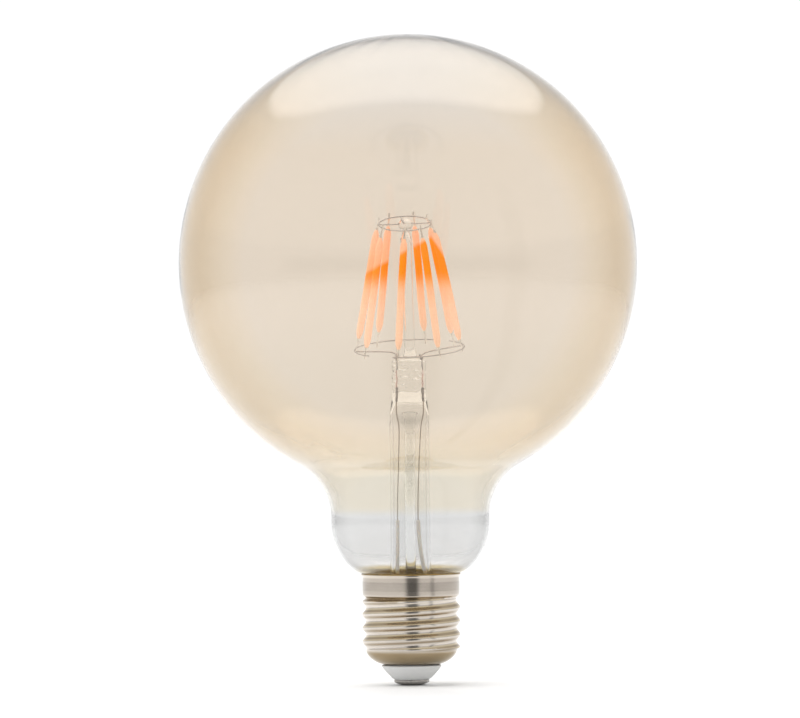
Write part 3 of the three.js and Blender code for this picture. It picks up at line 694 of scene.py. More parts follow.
GLASS_WALL = 0.7
NECK_RADIUS = 21.1
NECK_TOP_Z = 45.0
SHOULDER_Z = 43.7
SHOULDER_DROP = 14.1
SHOULDER_POWER = 1.9
THROAT_RADIUS = 11.3
THROAT_CORNER = 0.3

envelope_low, envelope_high = box("glass_envelope")
GLOBE_RADIUS = 61.2
GLOBE_CENTRE_Z = envelope_high[2] - GLOBE_RADIUS
THROAT_BOTTOM_Z = envelope_low[2]


def envelope_outline(globe_steps=96, fillet_steps=22, shoulder_steps=30):
    """One side of the glass's outside from the crown to the throat's rim, as (radius, height)."""
    rise = GLOBE_CENTRE_Z - NECK_TOP_Z
    fillet = (NECK_RADIUS**2 + rise**2 - GLOBE_RADIUS**2) / (2 * (GLOBE_RADIUS - NECK_RADIUS))
    fillet_centre = NECK_RADIUS + fillet
    tangent = math.atan2(fillet_centre, -rise)
    outline = []
    for k in range(globe_steps + 1):
        angle = tangent * k / globe_steps
        out, up = GLOBE_RADIUS * math.sin(angle), GLOBE_RADIUS * math.cos(angle)
        outline.append((out, GLOBE_CENTRE_Z + up))
    start = math.atan2(rise, -fillet_centre)
    for k in range(1, fillet_steps + 1):
        angle = start + (math.pi - start) * k / fillet_steps
        out, up = fillet * math.cos(angle), fillet * math.sin(angle)
        outline.append((fillet_centre + out, NECK_TOP_Z + up))
    across = NECK_RADIUS - THROAT_RADIUS - THROAT_CORNER
    for k in range(shoulder_steps + 1):
        angle = math.pi / 2 * k / shoulder_steps
        out = abs(math.cos(angle)) ** (2 / SHOULDER_POWER) if k < shoulder_steps else 0
        down = math.sin(angle) ** (2 / SHOULDER_POWER)
        radius = THROAT_RADIUS + THROAT_CORNER + across * out
        outline.append((radius, SHOULDER_Z - SHOULDER_DROP * down))
    outline.append((THROAT_RADIUS, SHOULDER_Z - SHOULDER_DROP - THROAT_CORNER))
    outline.append((THROAT_RADIUS, THROAT_BOTTOM_Z))
    return outline


def inner_outline(outline):
    """The outline moved inwards by the wall, square to itself everywhere."""
    line = np.array(outline)
    moved = []
    for k, (r, z) in enumerate(line):
        along = line[min(k + 1, len(line) - 1)] - line[max(k - 1, 0)]
        along /= np.linalg.norm(along)
        wall = GLASS_WALL * (0.65 + 0.35 * ramp(z, SHOULDER_Z - SHOULDER_DROP, NECK_TOP_Z))
        moved.append((r + wall * along[1], z - wall * along[0]))
    return moved


def build_envelope():
    """The blown wall is a little thicker and thinner from place to place, on its inside."""
    segments = 160
    outline = envelope_outline()[1:]
    outside = [circle(r, z, segments) for r, z in outline]
    inside = []
    for r, z in inner_outline(outline):
        ring = circle(r, z, segments)
        for k, point in enumerate(ring):
            angle = TURN * k / segments
            where = Vector((math.cos(angle) * 1.6, math.sin(angle) * 1.6, z * 0.028))
            wave = 0.12 * noise.noise(where) + 0.03 * noise.noise(where * 3.1)
            wave *= ramp(z, NECK_TOP_Z + 5, NECK_TOP_Z + 25) * ramp(r, 2, 14)
            outwards = np.array([point[0], point[1], (z - GLOBE_CENTRE_Z) if z > NECK_TOP_Z else 0.0])
            point += outwards / max(np.linalg.norm(outwards), 1e-6) * wave
        inside.append(ring)
    points, faces = skin(outside + inside[::-1])
    points[-2][2] = GLOBE_CENTRE_Z + GLOBE_RADIUS
    points[-1][2] = GLOBE_CENTRE_Z + GLOBE_RADIUS - GLASS_WALL
    make_glass("globe_glass", (points, faces), amber_glass, "glass_envelope", 60)


# ---------------------------------------------------------------- stem

STEM_BORE = 4.25
STEM_RADIUS = 5.3
FLARE_TOP_Z = 36.0
PRESS_HALF_WIDTH = 4.5
PRESS_HALF_DEPTH = 2.1
PRESS_BOTTOM_Z = 78.2
HOLLOW_TOP_Z = 75.2

stem_low, stem_high = box("stem_tube")
FLARE_RADIUS = stem_high[0]
FLARE_RIM_Z = stem_low[2]
PRESS_TOP_Z = stem_high[2]


def squared_ring(z, half_width, half_depth, power, segments, crumple=0.0):
    ring = []
    for k in range(segments):
        angle = TURN * k / segments
        c, s = math.cos(angle), math.sin(angle)
        x = half_width * math.copysign(abs(c) ** (2 / power), c)
        y = half_depth * math.copysign(abs(s) ** (2 / power), s)
        if crumple:
            spot = Vector((x * 0.55, math.copysign(3, y), z * 0.42))
            swirl = noise.noise_vector(spot * 0.8) * 1.3
            fold = noise.noise(spot * 1.15 + swirl) + 0.5 * noise.noise(spot * 2.6 + swirl)
            y += math.copysign(crumple * fold, y) * min(1.0, abs(y) / half_depth * 1.5)
            x += crumple * 0.35 * noise.noise(spot * 1.9 + Vector((7, 1, 3)))
        ring.append((x, y, z))
    return np.array(ring)


def flare(z, straight_radius, rim_radius):
    """The stem's radius at a height in its flare, which is a quarter of an ellipse."""
    drop = (FLARE_TOP_Z - z) / (FLARE_TOP_Z - FLARE_RIM_Z)
    return straight_radius + (rim_radius - straight_radius) * (1 - math.sqrt(max(0.0, 1 - drop**2)))


def stem_section(z):
    """Half width, half depth and squareness of the stem's outside at a height."""
    if z < FLARE_TOP_Z:
        radius = flare(z, STEM_RADIUS, FLARE_RADIUS)
        return radius, radius, 2.0
    pressed = ramp(z, PRESS_BOTTOM_Z - 6.5, PRESS_BOTTOM_Z + 0.6)
    width = STEM_RADIUS + (PRESS_HALF_WIDTH - STEM_RADIUS) * pressed
    depth = STEM_RADIUS + (PRESS_HALF_DEPTH - STEM_RADIUS) * pressed
    return width, depth, 2.0 + pressed


def build_stem():
    segments = 72
    heights = list(np.linspace(FLARE_RIM_Z, FLARE_TOP_Z, 26))
    heights += list(np.linspace(FLARE_TOP_Z, PRESS_BOTTOM_Z - 7, 26)[1:])
    heights += list(np.linspace(PRESS_BOTTOM_Z - 7, PRESS_TOP_Z - 0.55, 46)[1:])
    rings = []
    for z in heights:
        width, depth, power = stem_section(z)
        crumple = 0.62 * ramp(z, PRESS_BOTTOM_Z - 3, PRESS_BOTTOM_Z + 2.5)
        rings.append(squared_ring(z, width, depth, power, segments, crumple))
    for inset, z in ((0.06, 0.38), (0.2, 0.18), (0.42, 0.05), (0.8, 0.0), (1.6, -0.02)):
        width, depth = PRESS_HALF_WIDTH - inset, PRESS_HALF_DEPTH - inset
        ring = squared_ring(PRESS_TOP_Z - z, width, depth, 3.0, segments, 0.3)
        bow = 1 - (ring[:, 0] / PRESS_HALF_WIDTH) ** 2
        ring[:, 2] += 0.6 * bow - 0.62
        rings.append(ring)
    inside = []
    for z in np.linspace(HOLLOW_TOP_Z - 0.2, FLARE_TOP_Z, 30):
        closing = ramp(z, HOLLOW_TOP_Z - 7, HOLLOW_TOP_Z + 0.6)
        width, depth = STEM_BORE * (1 - 0.25 * closing**2), STEM_BORE * (1 - 0.97 * closing)
        inside.append(squared_ring(z, width, depth, 2.0, segments))
    for z in np.linspace(FLARE_TOP_Z, FLARE_RIM_Z, 22)[1:]:
        inside.append(circle(flare(z, STEM_BORE, FLARE_RADIUS - 0.9), z, segments))
    shape = skin(rings[::-1] + inside[::-1])
    make_glass("stem_glass", shape, stem_tube_glass, "stem_tube", 50)


def build_exhaust_tube():
    low, high = box("exhaust_tube")
    radius = high[0]
    bore = radius * 0.8
    tip = low[2]
    outline = [(0, tip), (0.35, tip + 0.05), (0.7, tip + 0.35), (1.15, tip + 1.0), (radius, tip + 2.0)]
    for z in np.linspace(tip + 6, high[2] - 3, 8):
        outline.append((radius * (1 + 0.012 * math.sin(z * 0.4)), z))
    top = high[2]
    outline += [(radius * 1.02, top - 1.2), (radius * 1.25, top - 0.1), (radius * 1.2, top)]
    outline += [(bore * 1.3, top - 0.05), (bore, top - 1.4)]
    outline += [(bore, tip + 3.2), (bore * 0.6, tip + 2.3), (0, tip + 2.0)]
    make_glass("exhaust_glass", lathe(outline, 40), tube_glass, "exhaust_tube", 60)


def turned_about(outline, centre, axis, segments):
    """A turned skin about any axis. The outline's heights are measured from the centre."""
    points, faces = lathe(outline, segments)
    axis = Vector(axis)
    turn = np.array(axis.to_track_quat("Z", "Y").to_matrix())
    return points @ turn.T + centre, faces


def build_post():
    centre, directions, sizes = axes_of("glass_post")
    axis = directions[0]
    half = sizes[0] / 2
    radius, button = 1.45, 1.95
    outline = [(0, -half), (radius + 0.5, -half), (radius + 0.45, -half + 0.4)]
    outline += [(radius + 0.1, -half + 1.4), (radius, -half + 3)]
    for z in np.linspace(-half + 5, half - 5.4, 9):
        outline.append((radius * (1 + 0.015 * math.sin(z * 0.7)), z))
    neck = half - 3.2
    for k in range(15):
        angle = -math.pi / 2.6 + (math.pi / 2 + math.pi / 2.6) * k / 14
        out = button * math.cos(angle) if k < 14 else 0
        outline.append((out, neck + 1.45 + 1.75 * math.sin(angle)))
    shape = turned_about(outline, centre, axis, 40)
    make_glass("post_glass", shape, stem_tube_glass, "glass_post", 60)


# ---------------------------------------------------------------- cage

RING_WIRE = 0.36
SUPPORT_WIRE = 0.32
FILAMENT_RADIUS = 0.95
FILAMENT_TAPER = 3.2
CHIP_SPACING = 1.05

ring_names = ("left_half_ring", "right_half_ring", "upper_ring")
ring_lines = {name: smooth_path(centreline(name), 0.6) for name in ring_names}


def build_wire(name, piece, radius, material, step):
    make(piece, sweep(smooth_path(centreline(name), step), radius), material, [name])


def build_rings():
    for name, path in ring_lines.items():
        make(name + "_wire", sweep(path, RING_WIRE / 2), steel_wire, [name])
    for side in ("left", "right", "back"):
        name = f"upper_support_{side}"
        line = centreline(name)
        start, end = line[0], line[-1]
        post_centre = axes_of("glass_post")[0]
        if np.linalg.norm(end[:2] - post_centre[:2]) < np.linalg.norm(start[:2] - post_centre[:2]):
            start, end = end, start
        direction = (end - start) / np.linalg.norm(end - start)
        path = straight(start - direction * 0.9, end + direction * 0.25, 12)
        path[:, 2] += np.sin(np.linspace(0, math.pi, 12)) * -0.12
        parts = [
            sweep(path, SUPPORT_WIRE / 2, 10),
            lump(end + direction * 0.3, np.array([0, 0, 1.0]), (0.26, 0.28, 0.28), len(side)),
        ]
        make(name + "_wire", joined(parts), steel_wire, [name])


def nearest_on_rings(names, point, direction):
    """The ring point closest to a straight line, with its distance along that line."""
    best = None
    for name in names:
        for spot in ring_lines[name]:
            along = np.dot(spot - point, direction)
            gap = np.linalg.norm(point + direction * along - spot)
            if best is None or gap < best[0]:
                best = (gap, along, spot)
    return best


def filament_rod(number):
    """A rod with tapered ends and a faint swelling over each chip. Returns its
    centre, axis and length."""
    centre, directions, sizes = axes_of(f"filament_{number}")
    axis, length = directions[0], sizes[0]
    rings = []
    rows = 150
    side = np.cross(axis, [0, 1.0, 0])
    side /= np.linalg.norm(side)
    other = np.cross(axis, side)
    for k in range(rows + 1):
        share = k / rows
        from_end = min(share, 1 - share) * length
        if k in (0, rows):
            from_end = 0.02
        taper = max(0.0, 1 - max(0.0, 1 - from_end / FILAMENT_TAPER) ** 1.9) ** 0.72
        place = (share - 0.5) * length
        chip = 0.018 * math.cos(TURN * place / CHIP_SPACING)
        ring = []
        for a in np.arange(24) * TURN / 24:
            c, s = math.cos(a), math.sin(a)
            wave = 0.03 * noise.noise(Vector((c, s, place * 0.35 + number * 5.1)))
            reach = FILAMENT_RADIUS * taper * (1 + chip + wave)
            ring.append(centre + axis * place + side * reach * c + other * reach * s)
        rings.append(np.array(ring))
    name = f"filament_{number}"
    make(name + "_rod", skin(rings), phosphor, [name])
    return centre, axis, length


def filament_tab(number, end, centre, axis, length):
    """A flat tab from inside the rod's end, bowed to touch the ring where it is spot-welded."""
    name = f"filament_{number}_{end}_tab"
    tab_centre, directions, sizes = axes_of(name)
    way = 1 if end == "upper" else -1
    outwards = axis * way
    start = centre + outwards * (length / 2 - 0.9)
    reach = np.dot(tab_centre + outwards * sizes[0] / 2 - start, outwards)
    rings = ("upper_ring",) if end == "upper" else ("left_half_ring", "right_half_ring")
    _, along, spot = nearest_on_rings(rings, start, outwards)
    towards = spot - (start + outwards * along)
    width_dir = directions[1]
    thickness = sizes[2] * 0.8
    distance = np.linalg.norm(towards)
    parts = []
    bow = np.zeros(3)
    if 1e-6 < distance < 1.2:
        bow = towards / distance * max(0.0, distance - RING_WIRE / 2 - thickness * 0.45)
    path = []
    for s in np.linspace(0, reach, 22):
        share = math.exp(-(((s - along) / 0.9) ** 2))
        lift = 0.10 * max(0.0, s - along - 0.5)
        path.append(start + outwards * s + bow * share - (bow * 0.6) * lift)
    parts.append(strip(path, width_dir, sizes[1] * 0.7, thickness))
    if np.linalg.norm(bow) > 0:
        weld = spot - towards / distance * 0.16
        parts.append(lump(weld, width_dir, (0.30, 0.22, 0.20), number * 3.3 + way))
    inner_end = centre + outwards * (length / 2 - 1.25)
    outer_end = centre + outwards * (length / 2 + 0.15)
    ferrule = straight(inner_end, outer_end, 5)
    parts.append(sweep(ferrule, lambda share, a: 0.34 + 0.04 * math.cos(2 * a), 14))
    make(name + "_strip", joined(parts), nickel_strip, [name])


def build_filaments():
    for number in range(1, 9):
        placed = filament_rod(number)
        for end in ("upper", "lower"):
            filament_tab(number, end, *placed)


# ---------------------------------------------------------------- lead wires


SEALING_WIRE_RADIUS = 0.16
COLLAR_RADIUS = 0.27
LEAD_RADIUS = 0.14
SLEEVE_RADIUS = 0.50
SLEEVE_WEAVE = 1.5


def build_lead_wires():
    for name in ("left_side_arm", "left_back_arm", "right_side_arm"):
        path = smooth_path(centreline(name), 0.35)
        make(name + "_wire", sweep(path, RING_WIRE / 2), steel_wire, [name])
    for side, way in (("left", -1), ("right", 1)):
        low, high = box(f"{side}_sealing_wire")
        x = (low[0] + high[0]) / 2
        foot = box(f"{side}_side_arm")[0][2]
        kink = [
            (x, 0, low[2] - 0.3), (x + way * 0.02, 0, low[2] + 1.2), (x - way * 0.10, 0.08, low[2] + 2.4),
            (x + way * 0.12, -0.06, low[2] + 3.6), (x, 0, foot + 0.1),
        ]
        shape = sweep(
            smooth_path(kink, 0.25),
            lambda s, a: SEALING_WIRE_RADIUS * (1 + 0.08 * math.sin(s * 40 + a)),
        )
        name = f"{side}_sealing_wire"
        make(f"{side}_sealing_copper", shape, copper_wire, [name])

        low, high = box(f"{side}_weld_sleeve")
        middle = np.array([x, 0.0, 0.0])
        parts = [
            sweep(
                straight(middle + [0, 0, low[2]], middle + [0, 0, high[2]], 24),
                lambda s, a: COLLAR_RADIUS * (1 + 0.10 * math.sin(s * 19 + a) - 0.16 * (2 * s - 1) ** 4),
                16,
            ),
            lump(middle + [0, 0, high[2] + 0.1], (0, 0, 1), (0.4, 0.29, 0.29), 4.2 * way),
            lump(middle + [0, 0, low[2] - 0.05], (0, 0, 1), (0.36, 0.28, 0.28), 2.2 * way),
        ]
        make(f"{side}_weld_collar", joined(parts), weld_metal, [f"{side}_weld_sleeve"])

        lead = centreline(f"{side}_lead")
        if lead[0][2] < lead[-1][2]:
            lead = lead[::-1]
        path = smooth_path(lead, 0.5)
        make(f"{side}_lead_copper", sweep(path, LEAD_RADIUS), lead_wire, [f"{side}_lead"])

        low, high = box(f"{side}_insulation_sleeve")
        covered = smooth_path(lead, 0.1)
        covered = covered[(covered[:, 2] < high[2] + 0.02) & (covered[:, 2] > low[2] - 0.02)]
        length = high[2] - low[2]

        def braid(share, angle, way=way):
            turns = share * length / SLEEVE_WEAVE * TURN
            weave = max(math.sin(4 * angle + turns), math.sin(4 * angle - turns))
            loose = noise.noise(Vector((angle * 2, share * 40, way)))
            frayed = 0.10 * ramp(0.04 - share, 0, 0.04) * loose
            return SLEEVE_RADIUS + 0.03 * weave + frayed

        shape = sweep(covered, braid, 32, blunt=0.15)
        name = f"{side}_insulation_sleeve"
        make(f"{side}_woven_sleeve", shape, sleeving, [name])


def build_press_welds():
    """Lumps and cut wire ends where the arms leave the press."""
    top = PRESS_TOP_Z
    left, right = (sum(box(f"{side}_sealing_wire"))[0] / 2 for side in ("left", "right"))
    upper_cut = [(left - 0.6, 0.4, top + 0.85), (left, 0.45, top + 0.8), (left + 0.55, 0.35, top + 0.95)]
    lower_cut = [(left - 0.75, -0.3, top + 0.15), (left, 0.1, top + 0.3), (left + 0.7, 0.2, top + 0.42)]
    right_cut = [(right - 0.1, 0.45, top - 0.4), (right - 0.35, 0.5, top + 0.3)]
    right_cut.append((right - 0.5, 0.5, top + 1.1))
    parts = [
        lump(np.array([left, 0.35, top + 0.55]), (0, 0.3, 1), (0.75, 0.42, 0.55), 1.7, rough=0.3),
        lump(np.array([left - 0.05, 0.1, top - 0.2]), (0, 0, 1), (0.5, 0.36, 0.4), 5.1, rough=0.3),
        sweep(smooth_path(lower_cut, 0.15), 0.13, 8),
        sweep(smooth_path(upper_cut, 0.15), 0.12, 8),
    ]
    make("left_press_weld", joined(parts), weld_metal)
    parts = [
        lump(np.array([right, 0.05, top + 0.1]), (0, 0, 1), (0.5, 0.36, 0.36), 8.3, rough=0.25),
        sweep(smooth_path(right_cut, 0.2), 0.2, 10),
    ]
    make("right_press_weld", joined(parts), weld_metal)


# ---------------------------------------------------------------- screw cap

THREAD_MAJOR = 13.15
THREAD_MINOR = 12.15
THREAD_PITCH = 3.629
THREAD_CREST_Z = 17.09
THREAD_SHARPNESS = 1.15
THREAD_TOP_Z = 23.3
THREAD_BOTTOM_Z = 9.2
THREAD_RUNOUT = 0.9
CAP_SHEET = 0.35
SKIRT_RADIUS = 13.0
SKIRT_BOTTOM_Z = 24.2
LIP_HEIGHT = 0.95
BOWL_FOOT_RADIUS = 7.2
BOWL_SQUARENESS = 1.6
BOWL_HOLE_RADIUS = 7.0

shell_low, shell_high = box("cap_shell")
LIP_RISE = 0.33
LIP_TOP_Z = shell_high[2] + LIP_RISE
BOWL_BOTTOM_Z = shell_low[2]
LIP_RADIUS = 13.4


def threaded_ring(z, inset, segments):
    fade = min(
        ramp(z, THREAD_BOTTOM_Z, THREAD_BOTTOM_Z + THREAD_RUNOUT),
        1 - ramp(z, THREAD_TOP_Z - THREAD_RUNOUT, THREAD_TOP_Z),
    )
    depth = (THREAD_MAJOR - THREAD_MINOR) * fade

    def radius(angle):
        turns = (z - THREAD_CREST_Z) / THREAD_PITCH - angle / TURN
        wave = 0.5 + 0.5 * math.cos(TURN * turns)
        return THREAD_MINOR - inset + depth * wave**THREAD_SHARPNESS

    return circle(radius, z, segments)


def bowl_outline(inset, steps=16):
    depth = THREAD_BOTTOM_Z - BOWL_BOTTOM_Z - inset
    across = THREAD_MINOR - inset - BOWL_FOOT_RADIUS
    power = 2 / BOWL_SQUARENESS
    out = []
    for k in range(1, steps + 1):
        angle = math.pi / 2 * k / steps
        radius = BOWL_FOOT_RADIUS + across * max(0.0, math.cos(angle)) ** power
        out.append((radius, THREAD_BOTTOM_Z - depth * math.sin(angle) ** power))
    return out


def build_cap_shell():
    segments = 144
    inner = SKIRT_RADIUS - CAP_SHEET
    rows = 56

    def dented(radius, z):
        """A ring of the skirt, which isn't quite round."""

        def uneven(a):
            spot = Vector((math.cos(a) * 2, math.sin(a) * 2, z * 0.2))
            return radius + 0.035 * noise.noise(spot)

        return circle(uneven, z, segments)

    thread = [THREAD_TOP_Z - (THREAD_TOP_Z - THREAD_BOTTOM_Z) * k / rows for k in range(rows + 1)]
    lip = [
        (inner + 0.12, 0.22), (inner + 0.2, 0.06), (LIP_RADIUS - 0.28, 0), (LIP_RADIUS - 0.1, 0.07),
        (LIP_RADIUS, 0.25), (LIP_RADIUS - 0.04, 0.45), (LIP_RADIUS - 0.2, 0.68), (SKIRT_RADIUS + 0.05, 0.85),
    ]
    rings = [circle(r, LIP_TOP_Z - drop, segments) for r, drop in lip]
    upper_skirt = (LIP_TOP_Z - LIP_HEIGHT - 0.1, LIP_TOP_Z - 2.2)
    lower_skirt = (SKIRT_BOTTOM_Z + 1.2, SKIRT_BOTTOM_Z + 0.15)
    rings += [dented(SKIRT_RADIUS, z) for z in upper_skirt + lower_skirt]
    hem = [(0.08, 0.12), (0.35, 0.42), (0.68, 0.66)]
    rings += [circle(SKIRT_RADIUS - inset, SKIRT_BOTTOM_Z - drop, segments) for inset, drop in hem]
    rings += [threaded_ring(z, 0, segments) for z in thread]
    rings += [circle(r, z, segments) for r, z in bowl_outline(0)]
    rings += [
        circle(BOWL_HOLE_RADIUS + 0.1, BOWL_BOTTOM_Z, segments),
        circle(BOWL_HOLE_RADIUS, BOWL_BOTTOM_Z + 0.1, segments),
        circle(BOWL_HOLE_RADIUS, BOWL_BOTTOM_Z + CAP_SHEET, segments),
    ]
    rings += [circle(r, z, segments) for r, z in bowl_outline(CAP_SHEET)[::-1]]
    rings += [threaded_ring(z, CAP_SHEET, segments) for z in thread[::-1]]
    rings += [
        circle(inner - 0.4, SKIRT_BOTTOM_Z - 0.25, segments),
        circle(inner, SKIRT_BOTTOM_Z + 0.25, segments),
        circle(inner, LIP_TOP_Z - LIP_HEIGHT, segments),
    ]
    make("threaded_shell", skin(rings, closed=True), nickel_cap, ["cap_shell"], sharp=55)


CRUMBLE = 0.05


def build_cement():
    """Cement that fills the lip and creeps up under the glass shoulder."""
    segments = 160
    low, high = box("basing_cement")
    outer, top = high[0], high[2]
    inner = THROAT_RADIUS - 0.25
    shoulder = [(r, z) for r, z in envelope_outline() if z < SHOULDER_Z and r < NECK_RADIUS][::-1]
    radii = [r for r, _ in shoulder]
    heights = [z for _, z in shoulder]

    def crumbled(r, z, amount):
        ring = circle(r, z, segments)
        for point in ring:
            spot = Vector(point * 1.3)
            push = noise.noise(spot) + 0.6 * noise.noise(spot * 2.7)
            point[2] += amount * push
            point[:2] *= 1 + amount * 0.35 * noise.noise(spot + Vector((5, 5, 5))) / r
        return ring

    foot = [(inner, low[2]), (outer - 0.1, low[2]), (outer, low[2] + 0.2)]
    rings = [circle(r, z, segments) for r, z in foot]
    rings += [circle(outer, z, segments) for z in np.linspace(low[2] + 1, top - 0.5, 4)]
    for out, up in ((0.05, 0.02), (0.18, 0.12), (0.32, 0.28), (0.40, 0.55)):
        rings.append(crumbled(outer + out, top + up, CRUMBLE))
    for r in np.linspace(outer + 0.3, inner + 0.25, 7):
        under_glass = float(np.interp(r, radii, heights)) + GLASS_WALL * 0.35
        rings.append(crumbled(r, under_glass, CRUMBLE))
    rings.append(circle(inner, top - 0.3, segments))
    make("cement_bead", skin(rings, closed=True), cement, ["basing_cement"], sharp=60)


def build_insulator():
    low, high = box("cap_insulator")
    rim = high[0]
    foot = 4.75
    hole = 1.6
    waist = BOWL_HOLE_RADIUS - 0.2
    rim_z = 5.3
    bottom = low[2]
    outline = [(hole, bottom), (foot - 0.35, bottom)]
    outline += [(foot - 0.1, bottom + 0.06), (foot + 0.08, bottom + 0.22)]
    for k in range(1, 10):
        share = k / 10
        bulge = 0.16 * math.sin(math.pi * share)
        r = foot + (rim - foot) * share + bulge
        outline.append((r, bottom + (rim_z - 0.35 - bottom) * share - bulge * 0.3))
    outline += [
        (rim - 0.02, rim_z - 0.36), (rim, rim_z - 0.22), (rim - 0.06, rim_z - 0.06), (rim - 0.2, rim_z),
        (waist, rim_z), (waist, 6.25), (rim - 0.4, 6.25), (rim - 0.3, 6.4), (rim - 0.3, high[2] - 0.15),
        (rim - 0.45, high[2]), (hole, high[2]),
    ]
    shape = lathe(outline, 96)
    make("insulator_moulding", shape, insulator_plastic, ["cap_insulator"], sharp=35)


def build_contact():
    low, high = box("centre_contact")
    radius = high[0]
    top = box("cap_insulator")[0][2] - 0.03
    rivet = 1.3
    outline = [
        (0, 0.0), (1.0, 0.0), (2.2, 0.0), (2.7, 0.05), (3.2, 0.15), (3.7, 0.29), (4.15, 0.47), (4.45, 0.64),
        (radius - 0.06, 0.82), (radius, 0.95), (radius - 0.02, top - 0.03), (radius - 0.15, top),
        (rivet + 0.1, top), (rivet, top + 0.1), (rivet, high[2] - 0.4), (rivet + 0.25, high[2] - 0.25),
        (rivet + 0.2, high[2] - 0.05), (rivet - 0.3, high[2]), (0, high[2]),
    ]
    make("contact_cap", lathe(outline, 72), contact_metal, ["centre_contact"], sharp=35)


# ---------------------------------------------------------------- driver inside the cap


def slab(low, high, edge=0.15):
    """A box with chamfered edges."""
    low, high = np.asarray(low, float), np.asarray(high, float)
    edge = min(edge, *(0.3 * (high - low)))

    def rounded(z, inset):
        x0, y0, x1, y1 = low[0] + inset, low[1] + inset, high[0] - inset, high[1] - inset
        e = edge
        return np.array([
            (x1 - e, y0, z), (x1, y0 + e, z), (x1, y1 - e, z), (x1 - e, y1, z),
            (x0 + e, y1, z), (x0, y1 - e, z), (x0, y0 + e, z), (x0 + e, y0, z),
        ])

    foot = [rounded(low[2], edge), rounded(low[2] + edge, 0)]
    head = [rounded(high[2] - edge, 0), rounded(high[2], edge)]
    return skin(foot + head)


PIN_WIDTH = 0.45
PIN_THICKNESS = 0.16
CAN_LOW_X, CAN_HIGH_X = -5.2, 1.2
CAN_LOW_Z, CAN_HIGH_Z = 13.2, 19.6
COIL_TURNS = 12
COIL_STEPS = 20


def build_chip(name, pins):
    """A moulded chip on the board, with pins on both sides that bend back to it."""
    low, high = box(name)
    make(name + "_body", slab(low, high, 0.2), black_moulding, [name], sharp=30)
    middle = (low[1] + high[1]) / 2
    feet = []
    for k in range(pins):
        z = low[2] + (high[2] - low[2]) * (k + 0.5) / pins
        for x, way in ((low[0], -1), (high[0], 1)):
            route = [
                (x - way * 0.2, middle, z), (x + way * 0.35, middle, z),
                (x + way * 0.5, high[1] - 0.1, z), (x + way * 0.9, high[1] + 0.02, z),
            ]
            along_board = np.array([0, 0, 1.0])
            feet.append(strip(smooth_path(route, 0.2), along_board, PIN_WIDTH, PIN_THICKNESS))
    make(name + "_pins", joined(feet), tinned_steel)


def build_radio():
    """A small board with a shield can on it, and pads down one edge."""
    low, high = box("radio_module")
    seam = high[1] - 0.8
    can_low, can_high = (CAN_LOW_X, low[1], CAN_LOW_Z), (CAN_HIGH_X, seam, CAN_HIGH_Z)
    parts = [slab((low[0], seam, low[2]), high, 0.1), slab(can_low, can_high, 0.3)]
    for k in range(7):
        z = low[2] + 0.9 + k * 0.95
        pad_low, pad_high = (low[0] - 0.02, seam + 0.1, z), (low[0] + 0.3, high[1] - 0.1, z + 0.5)
        parts.append(slab(pad_low, pad_high, 0.08))
    make("radio_module_can", joined(parts), tinned_steel, ["radio_module"], sharp=30)


def round_part(name, axis):
    """A round component's centre, radius and half length along the given axis."""
    low, high = box(name)
    across = 0 if axis == 2 else 2
    return (low + high) / 2, (high[across] - low[across]) / 2, (high[axis] - low[axis]) / 2


def build_round_parts():
    """The capacitor, the inductor with its winding, and the resistor."""
    centre, radius, half = round_part("smoothing_capacitor", 2)
    outline = [
        (0, -half), (radius - 0.5, -half), (radius - 0.1, -half + 0.15), (radius, -half + 0.5),
        (radius, -half + 1.1), (radius - 0.22, -half + 1.4), (radius - 0.22, -half + 1.6),
        (radius, -half + 1.9), (radius, half - 0.4), (radius - 0.15, half - 0.1),
        (radius - 0.5, half), (radius - 0.75, half - 0.12), (0, half - 0.15),
    ]
    shape = turned_about(outline, centre, (0, 0, 1), 40)
    make("capacitor_can", shape, capacitor_sleeve, ["smoothing_capacitor"], sharp=35)

    centre, radius, half = round_part("filter_inductor", 2)
    outline = [
        (0, -half), (radius - 0.1, -half), (radius, -half + 0.15), (radius, -half + 0.8),
        (radius - 0.1, -half + 0.95), (radius - 0.8, -half + 1.0), (radius - 0.8, half - 1.0),
        (radius - 0.1, half - 0.95), (radius, half - 0.8), (radius, half - 0.15),
        (radius - 0.1, half), (0, half),
    ]
    shape = turned_about(outline, centre, (0, 0, 1), 40)
    make("inductor_drum", shape, ferrite, ["filter_inductor"], sharp=35)
    coil = []
    for k in range(COIL_TURNS * COIL_STEPS + 1):
        a = TURN * k / COIL_STEPS
        rise = (2 * half - 2.4) * k / (COIL_TURNS * COIL_STEPS)
        across, deep = (radius - 0.65) * math.cos(a), (radius - 0.65) * math.sin(a)
        coil.append((centre[0] + across, centre[1] + deep, centre[2] - half + 1.2 + rise))
    make("inductor_winding", sweep(coil, 0.15, 8), winding)

    centre, radius, half = round_part("fusible_resistor", 0)
    outline = [
        (0, -half), (radius * 0.6, -half + 0.02), (radius * 0.95, -half + 0.25), (radius, -half + 0.7),
        (radius * 0.93, -half + 1.4), (radius * 0.86, -half + 1.8), (radius * 0.86, half - 1.8),
        (radius * 0.93, half - 1.4), (radius, half - 0.7), (radius * 0.95, half - 0.25),
        (radius * 0.6, half - 0.02), (0, half),
    ]
    shape = turned_about(outline, centre, (1, 0, 0), 32)
    make("resistor_body", shape, resistor_lacquer, ["fusible_resistor"], sharp=40)


def build_driver():
    low, high = box("driver_board")
    make("board_laminate", slab(low, high, 0.12), board_green, ["driver_board"], sharp=30)
    build_chip("driver_ic", 4)
    build_chip("bridge_rectifier", 2)
    build_radio()
    build_round_parts()
    build_wire("contact_wire", "contact_wire_lead", 0.3, red_insulation, step=0.25)
    build_wire("shell_wire", "shell_wire_lead", 0.25, copper_wire, step=0.2)


